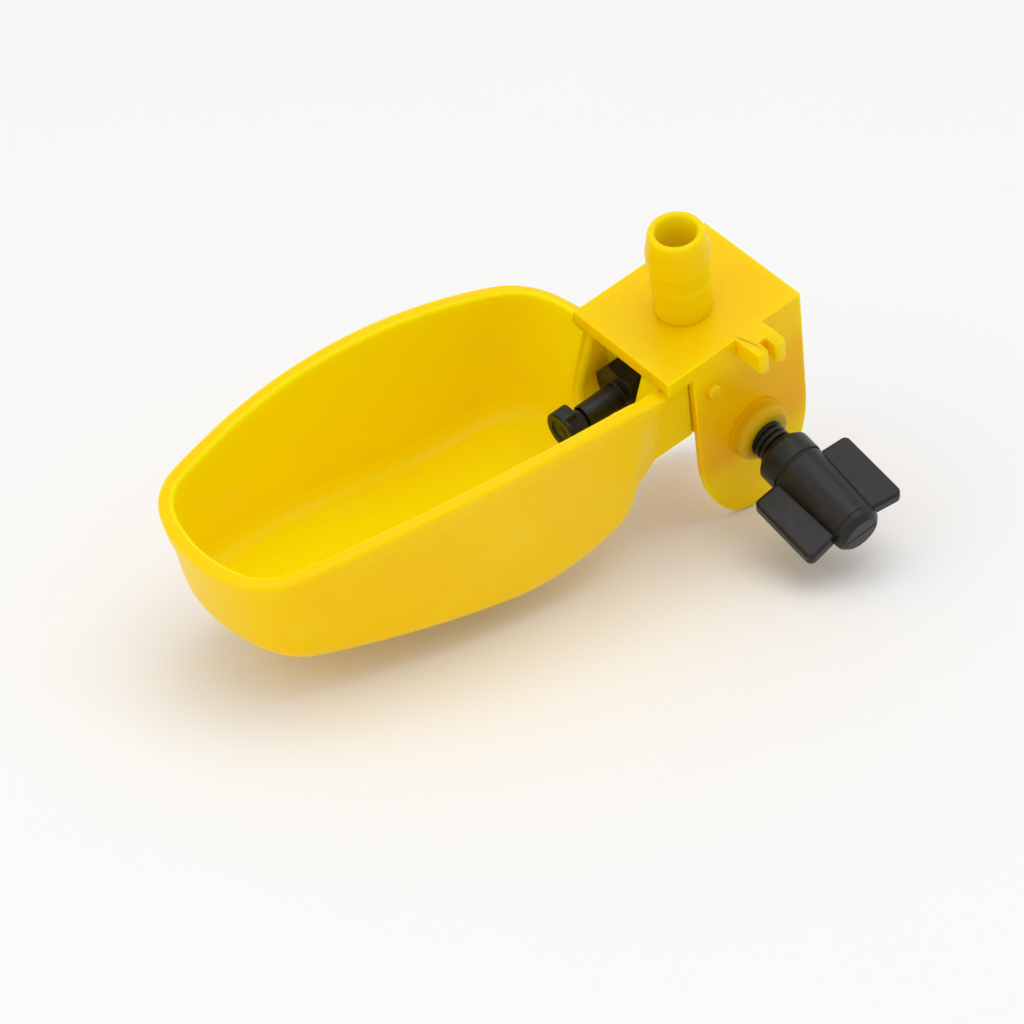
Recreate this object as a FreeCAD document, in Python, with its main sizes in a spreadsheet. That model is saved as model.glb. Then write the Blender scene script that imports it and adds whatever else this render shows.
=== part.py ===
"""Poultry drinking cup: a moulded bowl, a clamp bracket with a hose barb, a push-in water valve and a wing screw.

Frame, in millimetres: the origin is on the axis of the hose barb, at the top face of the bracket's plate.
+Z points up along the barb, -Y towards the lip that the bird drinks from, +X towards the wing screw.
"""
import FreeCAD
import Part
import Sketcher
import math
import os

V = FreeCAD.Vector
X_AXIS = V(1, 0, 0)
Y_AXIS = V(0, 1, 0)
Z_AXIS = V(0, 0, 1)
ORIGIN = V(0, 0, 0)
UPRIGHT = FreeCAD.Rotation()
ALONG_X = FreeCAD.Rotation(Z_AXIS, X_AXIS)
ALONG_Y = FreeCAD.Rotation(Z_AXIS, Y_AXIS)


class Dim:
    """A size: its number now, and its expression in names of the sheet."""

    def __init__(self, number, text):
        self.number = float(number)
        self.text = text

    def _with(self, other, sign, swap=False):
        if not isinstance(other, Dim):
            other = Dim(other, str(other))
        a, b = (other, self) if swap else (self, other)
        results = {"+": a.number + b.number, "-": a.number - b.number, "*": a.number * b.number}
        number = results[sign] if sign != "/" else a.number / b.number
        return Dim(number, f"({a.text} {sign} {b.text})")

    def __add__(self, other):
        return self._with(other, "+")

    def __radd__(self, other):
        return self._with(other, "+", True)

    def __sub__(self, other):
        return self._with(other, "-")

    def __rsub__(self, other):
        return self._with(other, "-", True)

    def __mul__(self, other):
        return self._with(other, "*")

    def __rmul__(self, other):
        return self._with(other, "*", True)

    def __truediv__(self, other):
        return self._with(other, "/")

    def __neg__(self):
        return self._with(0, "-", True)

    def __pow__(self, power):
        return Dim(self.number ** power, f"({self.text} ^ {power})")

    def root(self):
        return Dim(math.sqrt(self.number), f"sqrt({self.text})")


DRIVING = {
    # Bracket plate, which carries the barb.
    "plate_len": 27.0,
    "plate_wid": 22.0,
    "plate_thk": 2.7,
    "plate_shift": 0.8,
    "plate_round": 0.8,
    # Barb for a hose of 8 mm bore.
    "barb_stem_dia": 9.0,
    "barb_low_dia": 9.6,
    "barb_waist_dia": 9.2,
    "barb_top_dia": 10.1,
    "barb_tip_dia": 8.6,
    "barb_bore_dia": 6.5,
    "barb_tall": 16.2,
    "barb_stem_tall": 3.4,
    "barb_low_at": 6.2,
    "barb_waist_at": 8.0,
    "barb_top_at": 11.4,
    "barb_land": 1.2,
    # Notched tab beside the plate, for a tie.
    "tab_reach": 5.6,
    "tab_wid": 5.4,
    "tab_thk": 3.8,
    "tab_front": 0.9,
    "tab_slot_wid": 1.4,
    "tab_slot_deep": 2.6,
    "tab_edge": 0.5,
    # Clamp jaws, which hang from the plate on either side of the housing.
    "jaw_thk": 1.2,
    "jaw_front": 7.8,
    "jaw_straight": 22.0,
    "jaw_tip_tall": 17.5,
    "stud_dia": 2.3,
    "stud_tall": 0.9,
    "stud_back": 3.4,
    "stud_down": 7.3,
    # Valve housing between the jaws, under the plate.
    "house_deep": 12.8,
    "house_len": 17.4,
    "house_round": 2.0,
    "inlet_dia": 4.0,
    "sleeve_wall": 1.2,
    # Screw boss on the near jaw.
    "boss_dia": 10.0,
    "boss_tall": 3.0,
    "boss_down": 21.5,
    "boss_edge": 0.6,
    # Bowl outline, seen from above: nose, corner, side and back arcs.
    "cup_shift": 4.8,
    "cup_tip": 89.9,
    "cup_half": 20.2,
    "cup_wide_at": 42.8,
    "nose_rad": 24.8,
    "corner_rad": 10.3,
    "side_rad": 148.0,
    "back_rad": 13.2,
    "cup_wall": 2.0,
    "cup_floor": 2.0,
    "cup_draft": 1.6,
    "tip_draft": 1.6,
    "cup_back": 9.2,
    "cup_back_lean": 0.38,
    "seat_deep": 5.0,
    "plate_clear": 0.5,
    # Rim and floor, seen from the side.
    "rim_tall": 11.55,
    "rim_flat_to": 73.3,
    "rim_arc_rad": 157.0,
    "floor_low": 23.0,
    "floor_low_at": 33.2,
    "floor_arc_rad": 45.0,
    "floor_front": 5.6,
    "edge_rad": 4.7,
    "inner_edge_rad": 3.0,
    "bead_out": 0.4,
    "bead_tall": 3.2,
    # Neck between the bowl and the housing.
    "neck_len": 11.0,
    "neck_deep": 13.0,
    # Nipple, which points into the bowl.
    "nip_shift": 2.0,
    "nip_down": 11.7,
    "hex_af": 9.2,
    "hex_len": 3.0,
    "hex_turn": 22.0,
    "hex_room": 0.3,
    "pocket_front": 5.6,
    "pocket_wall": 1.2,
    "tail_dia": 7.0,
    "tail_len": 8.2,
    "tube_dia": 4.2,
    "tube_len": 7.0,
    "tube_bore_dia": 2.7,
    "chamber_dia": 5.6,
    "chamber_len": 7.3,
    # Trigger, stem, seal and spring.
    "stem_dia": 2.2,
    "stem_grip": 2.0,
    "head_dia": 6.8,
    "head_len": 3.0,
    "head_edge": 0.5,
    "head_dish_dia": 4.4,
    "head_dish_deep": 0.3,
    "trigger_travel": 1.2,
    "stop_dia": 4.0,
    "stop_thk": 1.0,
    "seal_dia": 4.4,
    "seal_thk": 1.2,
    "spring_dia": 3.4,
    "spring_wire": 0.4,
    "spring_turns": 7.0,
    "ring_cord": 1.2,
    # Wing screw.
    "screw_dia": 6.0,
    "screw_in": 4.0,
    "screw_out": 2.9,
    "screw_edge": 0.6,
    "screw_drop": 0.149,
    "screw_swing": 0.05,
    "screw_roll": 0.12,
    "collar_dia": 7.0,
    "collar_wide_dia": 9.5,
    "collar_rise": 1.2,
    "collar_len": 4.7,
    "barrel_dia": 9.3,
    "barrel_end_dia": 8.2,
    "barrel_len": 13.3,
    "cap_len": 1.9,
    "wing_reach": 9.3,
    "wing_thk": 2.4,
    "wing_len": 13.4,
    "wing_slope": 0.5,
    "wing_round": 1.0,
    "wing_flare": 0.8,
    # Radial play of what turns or slides, and the gap between pieces that lie side by side.
    "play": 0.05,
    "gap": 0.1,
}

doc = FreeCAD.newDocument("drinking_cup")
sheet = doc.addObject("Spreadsheet::Sheet", "Sizes")
for row, (alias, number) in enumerate(DRIVING.items(), start=1):
    sheet.set(f"A{row}", alias)
    sheet.set(f"B{row}", str(number))
    sheet.setAlias(f"B{row}", alias)
doc.recompute()
d = {alias: Dim(number, f"Sizes.{alias}") for alias, number in DRIVING.items()}


def bind(obj, prop, size):
    """Binds one property to a size, or sets it where the size is a plain number."""
    if isinstance(size, Dim):
        obj.setExpression(prop, size.text)
    elif size:
        obj.setExpression(prop, str(size))


def put(obj, where, turn=UPRIGHT):
    """Places an object: its turn, and its base bound to three sizes."""
    obj.Placement = FreeCAD.Placement(ORIGIN, turn)
    for letter, size in zip("xyz", where):
        bind(obj, "Placement.Base." + letter, size)


def solid(kind, name, where=(0, 0, 0), turn=UPRIGHT, **sizes):
    """Adds a box, cylinder, cone, prism or torus with its sizes and place bound to the sheet."""
    obj = doc.addObject("Part::" + kind, name)
    for prop, size in sizes.items():
        bind(obj, prop, size)
    put(obj, where, turn)
    return obj


def centred_box(name, middle, wide, long, tall):
    """A box about a middle in X and Y, standing on the middle's Z."""
    x, y, z = middle
    return solid("Box", name, (x - wide / 2, y - long / 2, z), Length=wide, Width=long, Height=tall)


def fuse(name, shapes):
    """One solid from several that overlap."""
    obj = doc.addObject("Part::MultiFuse", name)
    obj.Shapes = shapes
    obj.Refine = True
    return obj


def common(name, shapes):
    """What several solids share."""
    obj = doc.addObject("Part::MultiCommon", name)
    obj.Shapes = shapes
    return obj


def cut(name, base, tool):
    """The base without the tool."""
    obj = doc.addObject("Part::Cut", name)
    obj.Base = base
    obj.Tool = tool
    return obj


def soften(name, base, radius, wanted, kind="Fillet"):
    """Rounds or chamfers those edges of a base that pass the test."""
    doc.recompute()
    obj = doc.addObject("Part::" + kind, name)
    obj.Base = base
    r = radius.number
    obj.Edges = [(k, r, r) for k, e in enumerate(base.Shape.Edges, start=1) if wanted(e)]
    return obj


def add_sketch(name, axis_x, axis_y, where=(0, 0, 0)):
    """An empty sketch whose own X and Y run along two given directions."""
    obj = doc.addObject("Sketcher::SketchObject", name)
    put(obj, where, FreeCAD.Rotation(axis_x, axis_y, axis_x.cross(axis_y), "ZXY"))
    return obj


def dimension(sketch, kind, items, size):
    """Adds one dimension to a sketch and binds it to a size."""
    index = sketch.addConstraint(Sketcher.Constraint(kind, *items, size.number))
    sketch.setExpression(f"Constraints[{index}]", size.text)


def pin_point(sketch, item, point, x, y):
    """Fixes a point of a sketch at two sizes, each a Dim or zero."""
    for kind, size, line in (("DistanceX", x, -2), ("DistanceY", y, -1)):
        if isinstance(size, Dim):
            dimension(sketch, kind, (-1, 1, item, point), size)
        else:
            sketch.addConstraint(Sketcher.Constraint("PointOnObject", item, point, line))


def number_of(size):
    """The plain number of a Dim or a number."""
    return size.number if isinstance(size, Dim) else float(size)


def polygon(name, axis_x, axis_y, corners, where=(0, 0, 0)):
    """A closed sketch of straight lines through corners, each a pair of sizes."""
    sketch = add_sketch(name, axis_x, axis_y, where)
    points = [V(number_of(x), number_of(y), 0) for x, y in corners]
    count = len(points)
    for k in range(count):
        sketch.addGeometry(Part.LineSegment(points[k], points[(k + 1) % count]), False)
    for k in range(count):
        sketch.addConstraint(Sketcher.Constraint("Coincident", k, 2, (k + 1) % count, 1))
    for k, (x, y) in enumerate(corners):
        pin_point(sketch, k, 1, x, y)
    return sketch


def extrude(name, sketch, length, direction, symmetric=False):
    """A prism on a closed sketch or edge."""
    obj = doc.addObject("Part::Extrusion", name)
    obj.Base = sketch
    obj.DirMode = "Custom"
    obj.Dir = direction
    bind(obj, "LengthFwd", length)
    obj.Solid = True
    obj.Symmetric = symmetric
    return obj


def revolve(name, profile, axis, where=(0, 0, 0)):
    """A solid of revolution of a closed profile about an axis through a place."""
    obj = doc.addObject("Part::Revolution", name)
    obj.Source = profile
    obj.Axis = axis
    for letter, size in zip("xyz", where):
        bind(obj, "Base." + letter, size)
    obj.Angle = 360.0
    obj.Solid = True
    return obj


def along(edge, axis):
    """Whether an edge is straight and runs along an axis."""
    if edge.Curve.TypeId != "Part::GeomLine":
        return False
    return abs(abs(edge.Curve.Direction.dot(axis)) - 1) < 1e-6


# Places that several pieces share.

near_face = d["plate_wid"] / 2
jaw_inside = near_face - d["jaw_thk"]
neck_back = -(d["jaw_front"] + d["gap"])
bowl_back = neck_back - d["seat_deep"]
flange_back = bowl_back + d["hex_len"]
tail_end = flange_back + d["tail_len"]
seat_at = tail_end - d["chamber_len"]
tube_end = bowl_back - d["tube_len"]
house_back = d["house_len"] - d["jaw_front"]
plate_back = d["plate_shift"] + d["plate_len"] / 2
jaw_mid = (plate_back - d["jaw_front"]) / 2
jaw_half = (plate_back + d["jaw_front"]) / 2
nip_x = -d["nip_shift"]
nip_z = -d["nip_down"]
cup_x = -d["cup_shift"]
under_plate = -(d["plate_thk"] + d["gap"])
house_bottom = -(d["plate_thk"] + d["house_deep"])
screw_at = (near_face, jaw_mid, -d["boss_down"])


# Bracket.

def bracket_plate():
    """The flat top plate, its upright edges rounded."""
    wide, long, thick = d["plate_wid"], d["plate_len"], d["plate_thk"]
    slab = centred_box("plate_slab", (0, d["plate_shift"], -thick), wide, long, thick)
    return soften("plate", slab, d["plate_round"], lambda e: along(e, Z_AXIS))


def bracket_barb():
    """The hose barb: a low ridge, a waist and a top ring with a short straight land, on a plain stem."""
    z0 = -d["plate_thk"] / 2
    corners = [
        (0, z0),
        (d["barb_stem_dia"] / 2, z0),
        (d["barb_stem_dia"] / 2, d["barb_stem_tall"]),
        (d["barb_low_dia"] / 2, d["barb_low_at"]),
        (d["barb_waist_dia"] / 2, d["barb_waist_at"]),
        (d["barb_top_dia"] / 2, d["barb_top_at"] - d["barb_land"] / 2),
        (d["barb_top_dia"] / 2, d["barb_top_at"] + d["barb_land"] / 2),
        (d["barb_tip_dia"] / 2, d["barb_tall"]),
        (0, d["barb_tall"]),
    ]
    return revolve("barb", polygon("barb_profile", X_AXIS, Z_AXIS, corners), Z_AXIS)


def bracket_tab():
    """The tab beside the plate, slotted into two prongs."""
    root = near_face - d["jaw_thk"]
    end = near_face + d["tab_reach"]
    inner = end - d["tab_slot_deep"]
    y0 = d["tab_front"]
    prong = (d["tab_wid"] - d["tab_slot_wid"]) / 2
    y1 = y0 + prong
    y2 = y1 + d["tab_slot_wid"]
    y3 = y0 + d["tab_wid"]
    corners = [(root, y0), (end, y0), (end, y1), (inner, y1), (inner, y2), (end, y2), (end, y3), (root, y3)]
    blank = extrude("tab_blank", polygon("tab_outline", X_AXIS, Y_AXIS, corners), d["tab_thk"], -Z_AXIS)
    tip = end.number

    def at_tip(edge):
        return along(edge, Z_AXIS) and abs(edge.BoundBox.XMin - tip) < 1e-6

    return soften("tab", blank, d["tab_edge"], at_tip, "Chamfer")


def bracket_jaws():
    """The near jaw, straight above and half an ellipse below, and its mirror image."""
    thick = d["jaw_thk"]
    top = -d["plate_thk"] / 2
    tall = d["jaw_straight"] + top
    y0 = jaw_mid - jaw_half
    upper = solid("Box", "jaw_upper", (near_face - thick, y0, -d["jaw_straight"]),
                  Length=thick, Width=2 * jaw_half, Height=tall)
    curve = doc.addObject("Part::Ellipse", "jaw_tip_curve")
    bind(curve, "MajorRadius", d["jaw_tip_tall"])
    bind(curve, "MinorRadius", jaw_half)
    put(curve, (near_face - thick, jaw_mid, -d["jaw_straight"]), FreeCAD.Rotation(Z_AXIS, Y_AXIS, -X_AXIS, "ZXY"))
    tip = extrude("jaw_tip", curve, thick, X_AXIS)
    near = fuse("near_jaw", [upper, tip])
    far = doc.addObject("Part::Mirroring", "far_jaw")
    far.Source = near
    far.Normal = X_AXIS
    return near, far


def bracket_house():
    """The valve housing, its lower back edge rounded."""
    wide = d["plate_wid"] - d["jaw_thk"]
    top = -d["plate_thk"] / 2
    middle_y = house_back - d["house_len"] / 2
    block = centred_box("house_block", (0, middle_y, house_bottom), wide, d["house_len"], top - house_bottom)
    y_back, z_low = house_back.number, house_bottom.number

    def low_back(edge):
        box = edge.BoundBox
        return along(edge, X_AXIS) and abs(box.YMin - y_back) < 1e-6 and abs(box.ZMin - z_low) < 1e-6

    return soften("house", block, d["house_round"], low_back)


def bracket():
    """The whole yellow bracket, with its water way, ring seat and screw hole."""
    near, far = bracket_jaws()
    boss_z = -d["boss_down"]
    boss_blank = solid("Cylinder", "boss_blank", (jaw_inside, jaw_mid, boss_z), ALONG_X,
                       Radius=d["boss_dia"] / 2, Height=d["boss_tall"] + d["jaw_thk"])
    rim_x = (near_face + d["boss_tall"]).number
    boss = soften("boss", boss_blank, d["boss_edge"], lambda e: abs(e.BoundBox.XMin - rim_x) < 1e-6, "Chamfer")
    sleeve = solid("Cylinder", "valve_sleeve", (nip_x, -d["jaw_front"], nip_z), ALONG_Y,
                   Radius=ring_outside() / 2 + d["sleeve_wall"], Height=d["house_len"])
    stud = solid("Cylinder", "stud", (jaw_inside, d["stud_back"] - d["jaw_front"], -d["stud_down"]), ALONG_X,
                 Radius=d["stud_dia"] / 2, Height=d["stud_tall"] + d["jaw_thk"])
    whole = fuse("bracket_whole", [bracket_plate(), bracket_barb(), bracket_tab(), near, far, bracket_house(),
                                   sleeve, boss, stud])
    barb_bore = solid("Cylinder", "barb_bore", (0, 0, -d["plate_thk"]),
                      Radius=d["barb_bore_dia"] / 2, Height=d["plate_thk"] + d["barb_tall"])
    inlet = solid("Cylinder", "inlet", (0, 0, nip_z), Radius=d["inlet_dia"] / 2, Height=d["nip_down"])
    valve_bore = solid("Cylinder", "valve_bore", (nip_x, -d["jaw_front"], nip_z), ALONG_Y,
                       Radius=d["tail_dia"] / 2 + d["play"], Height=valve_bore_len())
    ring_seat = solid("Cylinder", "ring_seat", (nip_x, -d["jaw_front"], nip_z), ALONG_Y,
                      Radius=ring_outside() / 2, Height=d["ring_cord"])
    screw_hole = screw_way()
    ways = fuse("bracket_ways", [barb_bore, inlet, valve_bore, ring_seat, screw_hole])
    return cut("bracket", whole, ways)


def screw_way():
    """The round hole through the near jaw and its boss, along the screw."""
    ahead, across, up = screw_axes()
    start, end = -2 * d["jaw_thk"], d["boss_tall"] + d["jaw_thk"]
    wide = d["screw_dia"] / 2 + d["play"]
    profile = polygon("screw_way_profile", ahead, across, [(start, 0), (end, 0), (end, wide), (start, wide)], screw_at)
    return revolve("screw_hole", profile, ahead, screw_at)


def valve_bore_len():
    """From the housing's front face to a little behind the inlet, which it must catch."""
    return d["jaw_front"] + d["inlet_dia"] / 2 + d["tube_bore_dia"] / 2


def ring_outside():
    """The outer diameter of the seal ring's seat."""
    return d["tail_dia"] + 2 * d["play"] + 2 * d["ring_cord"]


# Cup.

def outline(name, level, inset, back, tip_in=0):
    """The bowl's outline from above as seven tangent arcs and a back line, moved inwards by a stated size.

    tip_in moves the nose back on top of that.
    """
    sketch = add_sketch(name, X_AXIS, Y_AXIS, (cup_x, 0, level))
    nose_r = d["nose_rad"] - inset
    corner_r = d["corner_rad"] - inset
    side_r = d["side_rad"] - inset
    back_r = d["back_rad"] - inset
    nose_y = d["nose_rad"] - d["cup_tip"] + tip_in
    nose = V(0, nose_y.number, 0)
    side = V((d["cup_half"] - d["side_rad"]).number, -d["cup_wide_at"].number, 0)
    corner = meeting(nose, (nose_r - corner_r).number, side, (side_r - corner_r).number)
    heel_y = (back - back_r).number
    heel_x = side.x + math.sqrt((side_r - back_r).number ** 2 - (heel_y - side.y) ** 2)
    heel = V(heel_x, heel_y, 0)
    start = math.atan2(corner.y - nose.y, corner.x - nose.x)
    add_arc(sketch, nose, nose_r.number, math.pi - start, start)
    half = [
        (corner, corner_r.number, corner - nose, corner - side),
        (side, side_r.number, corner - side, heel - side),
        (heel, back_r.number, heel - side, Y_AXIS),
    ]
    for middle, rad, first, last in half:
        add_arc(sketch, middle, rad, math.atan2(first.y, first.x), math.atan2(last.y, last.x))
    for middle, rad, first, last in half:
        add_arc(sketch, V(-middle.x, middle.y, 0), rad,
                math.pi - math.atan2(last.y, last.x), math.pi - math.atan2(first.y, first.x))
    end = V(heel.x, back.number, 0)
    sketch.addGeometry(Part.LineSegment(end, V(-end.x, end.y, 0)), False)
    for a, a_end, b, b_end in ((0, 2, 1, 1), (1, 2, 2, 1), (2, 2, 3, 1), (3, 2, 7, 1),
                               (0, 1, 4, 2), (4, 1, 5, 2), (5, 1, 6, 2), (6, 1, 7, 2)):
        sketch.addConstraint(Sketcher.Constraint("Tangent", a, a_end, b, b_end))
    for item, rad in enumerate((nose_r, corner_r, side_r, back_r, corner_r, side_r, back_r)):
        dimension(sketch, "Radius", (item,), rad)
    pin_point(sketch, 0, 3, 0, nose_y)
    pin_point(sketch, 2, 3, d["cup_half"] - d["side_rad"], -d["cup_wide_at"])
    pin_point(sketch, 5, 3, d["side_rad"] - d["cup_half"], -d["cup_wide_at"])
    sketch.addConstraint(Sketcher.Constraint("Horizontal", 7))
    dimension(sketch, "DistanceY", (-1, 1, 7, 1), back)
    return sketch


def meeting(first, rad_a, second, rad_b):
    """The lower of the two points at given distances from two centres."""
    span = second - first
    reach = (rad_a ** 2 - rad_b ** 2 + span.Length ** 2) / (2 * span.Length)
    off = math.sqrt(rad_a ** 2 - reach ** 2)
    unit = span * (1 / span.Length)
    points = [first + unit * reach + V(-unit.y, unit.x, 0) * (sign * off) for sign in (1, -1)]
    return min(points, key=lambda p: p.y)


def add_arc(sketch, middle, rad, start, end):
    """An arc of a circle between two angles, counter-clockwise."""
    sketch.addGeometry(Part.ArcOfCircle(Part.Circle(middle, Z_AXIS, rad), start, end), False)


def bowl_block(name, inset, back_inset):
    """A tall block with the bowl's outline, narrower below by the draft, its back leaning forwards below."""
    high = 1.5 * d["rim_tall"]
    low = -(d["floor_low"] + d["cup_floor"])
    back = -(d["cup_back"] + back_inset)
    upper = outline(name + "_upper", high, inset, back + d["cup_back_lean"] * high)
    lower = outline(name + "_lower", low, inset + d["cup_draft"], back + d["cup_back_lean"] * low, d["tip_draft"])
    loft = doc.addObject("Part::Loft", name)
    loft.Sections = [upper, lower]
    loft.Solid = True
    loft.Ruled = True
    return loft


def side_band(name, rim_up, floor_up, floor_shape=True):
    """A wide band, seen from the side: the rim's curve above and the floor, or a copy of the rim's curve, below.

    rim_up raises the upper curve, and floor_up the lower one.
    """
    sketch = add_sketch(name + "_sketch", Y_AXIS, Z_AXIS, (cup_x, 0, 0))
    rear = neck_back / 2
    add_rim_curve(sketch, rim_up, rear)
    if floor_shape:
        add_floor(sketch, floor_up, rear)
    else:
        add_rim_curve(sketch, floor_up, rear)
    last = sketch.GeometryCount
    add_side(sketch, last, (0, 1), (2, 1))
    add_side(sketch, last + 1, (1, 1), (4, 2) if floor_shape else (3, 1))
    return extrude(name, sketch, 3 * d["cup_half"], X_AXIS, True)


def add_side(sketch, index, upper, lower):
    """An upright line between two ends that the sketch has already."""
    sketch.addGeometry(Part.LineSegment(sketch.getPoint(*upper), sketch.getPoint(*lower)), False)
    sketch.addConstraint(Sketcher.Constraint("Coincident", *upper, index, 1))
    sketch.addConstraint(Sketcher.Constraint("Coincident", *lower, index, 2))


def add_rim_curve(sketch, up, rear):
    """The rim seen from the side: level at the lip, then an arc that falls towards the back."""
    line = sketch.GeometryCount
    level, rad = d["rim_tall"] + up, d["rim_arc_rad"] + up
    turn = V(-d["rim_flat_to"].number, level.number, 0)
    middle = turn - V(0, rad.number, 0)
    reach = math.asin((rear - turn.x).number / rad.number)
    sketch.addGeometry(Part.LineSegment(V(band_front().number, turn.y, 0), turn), False)
    add_arc(sketch, middle, rad.number, math.pi / 2 - reach, math.pi / 2)
    sketch.addConstraint(Sketcher.Constraint("Tangent", line, 2, line + 1, 2))
    sketch.addConstraint(Sketcher.Constraint("Horizontal", line))
    dimension(sketch, "Radius", (line + 1,), rad)
    pin_point(sketch, line, 2, -d["rim_flat_to"], level)
    dimension(sketch, "DistanceX", (-1, 1, line, 1), band_front())
    dimension(sketch, "DistanceX", (-1, 1, line + 1, 1), rear)


def add_floor(sketch, up, rear):
    """The floor seen from the side: a slope from the lip, an arc and a level stretch at the back."""
    line = sketch.GeometryCount
    level, rad, turn, touch, front = floor_points(up)
    middle = turn + V(0, rad.number, 0)
    first = math.atan2(touch.y - middle.y, touch.x - middle.x)
    sketch.addGeometry(Part.LineSegment(front, touch), False)
    add_arc(sketch, middle, rad.number, first, -math.pi / 2)
    sketch.addGeometry(Part.LineSegment(turn, V(rear.number, turn.y, 0)), False)
    sketch.addConstraint(Sketcher.Constraint("Tangent", line, 2, line + 1, 1))
    sketch.addConstraint(Sketcher.Constraint("Tangent", line + 1, 2, line + 2, 1))
    sketch.addConstraint(Sketcher.Constraint("Horizontal", line + 2))
    dimension(sketch, "Radius", (line + 1,), rad)
    pin_point(sketch, line + 2, 1, -d["floor_low_at"], level)
    pin_point(sketch, line, 1, band_front(), -d["floor_front"] + up)
    dimension(sketch, "DistanceX", (-1, 1, line + 2, 2), rear)


def band_front():
    """Where the side bands end, in front of the lip."""
    return -(d["cup_tip"] + d["cup_floor"])


def floor_points(up):
    """The raised floor's level and arc, the arc's two ends and the slope's front end."""
    level = -d["floor_low"] + up
    rad = d["floor_arc_rad"] - up
    turn = V(-d["floor_low_at"].number, level.number, 0)
    front = V(band_front().number, (-d["floor_front"] + up).number, 0)
    middle = turn + V(0, rad.number, 0)
    span = front - middle
    angle = math.atan2(span.y, span.x) + math.acos(rad.number / span.Length)
    touch = middle + V(math.cos(angle), math.sin(angle), 0) * rad.number
    return level, rad, turn, touch, front


def floor_height(y, up):
    """The raised floor's height at a given Y."""
    level, rad, turn, touch, front = floor_points(up)
    if y >= turn.x:
        return level.number
    if y >= touch.x:
        return turn.y + rad.number - math.sqrt(rad.number ** 2 - (y - turn.x) ** 2)
    return front.y + (y - front.x) * (touch.y - front.y) / (touch.x - front.x)


def on_floor(edge, up):
    """Whether an edge lies where the bowl's raised floor meets its wall."""
    ends = [-d["floor_low_at"].number, floor_points(up)[3].x]
    box = edge.BoundBox
    if box.YLength < 1e-3 and any(abs(box.YMin - end) < 1e-3 for end in ends):
        return False
    return all(abs(point.z - floor_height(point.y, up)) < 0.02 for point in edge.discretize(5))


def cup():
    """The bowl with its beaded rim, hollow, and the neck with the pocket for the nipple."""
    shell = common("shell_sharp", [bowl_block("shell_block", 0, 0), side_band("shell_band", 0, 0)])
    shell_round = soften("shell", shell, d["edge_rad"], lambda e: on_floor(e, 0))
    bead = common("bead", [bowl_block("bead_block", -d["bead_out"], -d["bead_out"]),
                           side_band("bead_band", 0, -d["bead_tall"], False)])
    neck_low = -(d["plate_thk"] + d["neck_deep"])
    neck = centred_box("neck", (0, neck_back - d["neck_len"] / 2, neck_low),
                       2 * (near_face - d["jaw_thk"]), d["neck_len"], under_plate - neck_low)
    hollow_sharp = common("hollow_sharp", [bowl_block("hollow_block", d["cup_wall"], d["cup_wall"]),
                                           side_band("hollow_band", 3 * d["cup_wall"], d["cup_floor"])])
    hollow = soften("hollow", hollow_sharp, d["inner_edge_rad"], lambda e: on_floor(e, d["cup_floor"]))
    room = d["hex_af"] / (2 * math.cos(math.pi / 6)) + d["hex_room"]
    pocket_len = d["hex_len"] + d["pocket_front"]
    pocket_low = solid("Cylinder", "pocket_low", (nip_x, flange_back - pocket_len, nip_z), ALONG_Y,
                       Radius=room, Height=pocket_len)
    pocket_high = centred_box("pocket_high", (nip_x, flange_back - pocket_len / 2, nip_z),
                              2 * room, pocket_len, d["nip_down"])
    neck_sleeve = solid("Cylinder", "neck_sleeve", (nip_x, neck_back - d["neck_len"], nip_z), ALONG_Y,
                        Radius=room + d["pocket_wall"], Height=d["neck_len"])
    tail_hole = solid("Cylinder", "tail_hole", (nip_x, bowl_back, nip_z), ALONG_Y,
                      Radius=d["tail_dia"] / 2 + d["play"], Height=2 * d["seat_deep"])
    plate_room = centred_box("plate_room", (0, d["plate_shift"], under_plate), d["plate_wid"] + 2 * d["plate_clear"],
                             d["plate_len"] + 2 * d["plate_clear"], d["rim_tall"])
    whole = fuse("cup_whole", [shell_round, bead, neck, neck_sleeve])
    rooms = fuse("cup_rooms", [hollow, pocket_low, pocket_high, tail_hole, plate_room])
    return cut("cup", whole, rooms)


# Nipple valve.

def nipple_body():
    """The hexagon flange, the tube in front of it and the tail behind, bored through."""
    turn = ALONG_Y * FreeCAD.Rotation(Z_AXIS, -d["hex_turn"].number)
    blank = solid("Prism", "hex_blank", (nip_x, bowl_back, nip_z), turn,
                  Circumradius=d["hex_af"] / (2 * math.cos(math.pi / 6)), Height=d["hex_len"])
    bevel = solid("Cone", "hex_bevel", (nip_x, bowl_back, nip_z), ALONG_Y,
                  Radius1=d["hex_af"] / 2, Radius2=d["hex_af"] / 2 + 2 * d["hex_len"], Height=d["hex_len"])
    flange = common("flange", [blank, bevel])
    tube = solid("Cylinder", "tube", (nip_x, tube_end, nip_z), ALONG_Y,
                 Radius=d["tube_dia"] / 2, Height=d["tube_len"] + d["hex_len"])
    tail = solid("Cylinder", "tail", (nip_x, flange_back - d["gap"], nip_z), ALONG_Y,
                 Radius=d["tail_dia"] / 2, Height=d["tail_len"] + d["gap"])
    bore = solid("Cylinder", "tube_bore", (nip_x, tube_end - d["gap"], nip_z), ALONG_Y,
                 Radius=d["tube_bore_dia"] / 2, Height=d["tube_len"] + d["hex_len"] + d["tail_len"])
    chamber = solid("Cylinder", "chamber", (nip_x, seat_at, nip_z), ALONG_Y,
                    Radius=d["chamber_dia"] / 2, Height=d["chamber_len"] + d["gap"])
    return cut("nipple_body", fuse("nipple_whole", [flange, tube, tail]), fuse("nipple_ways", [bore, chamber]))


def head_back():
    """The back of the trigger head, one travel and a gap in front of the tube."""
    return tube_end - d["trigger_travel"] - 2 * d["gap"]


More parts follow.
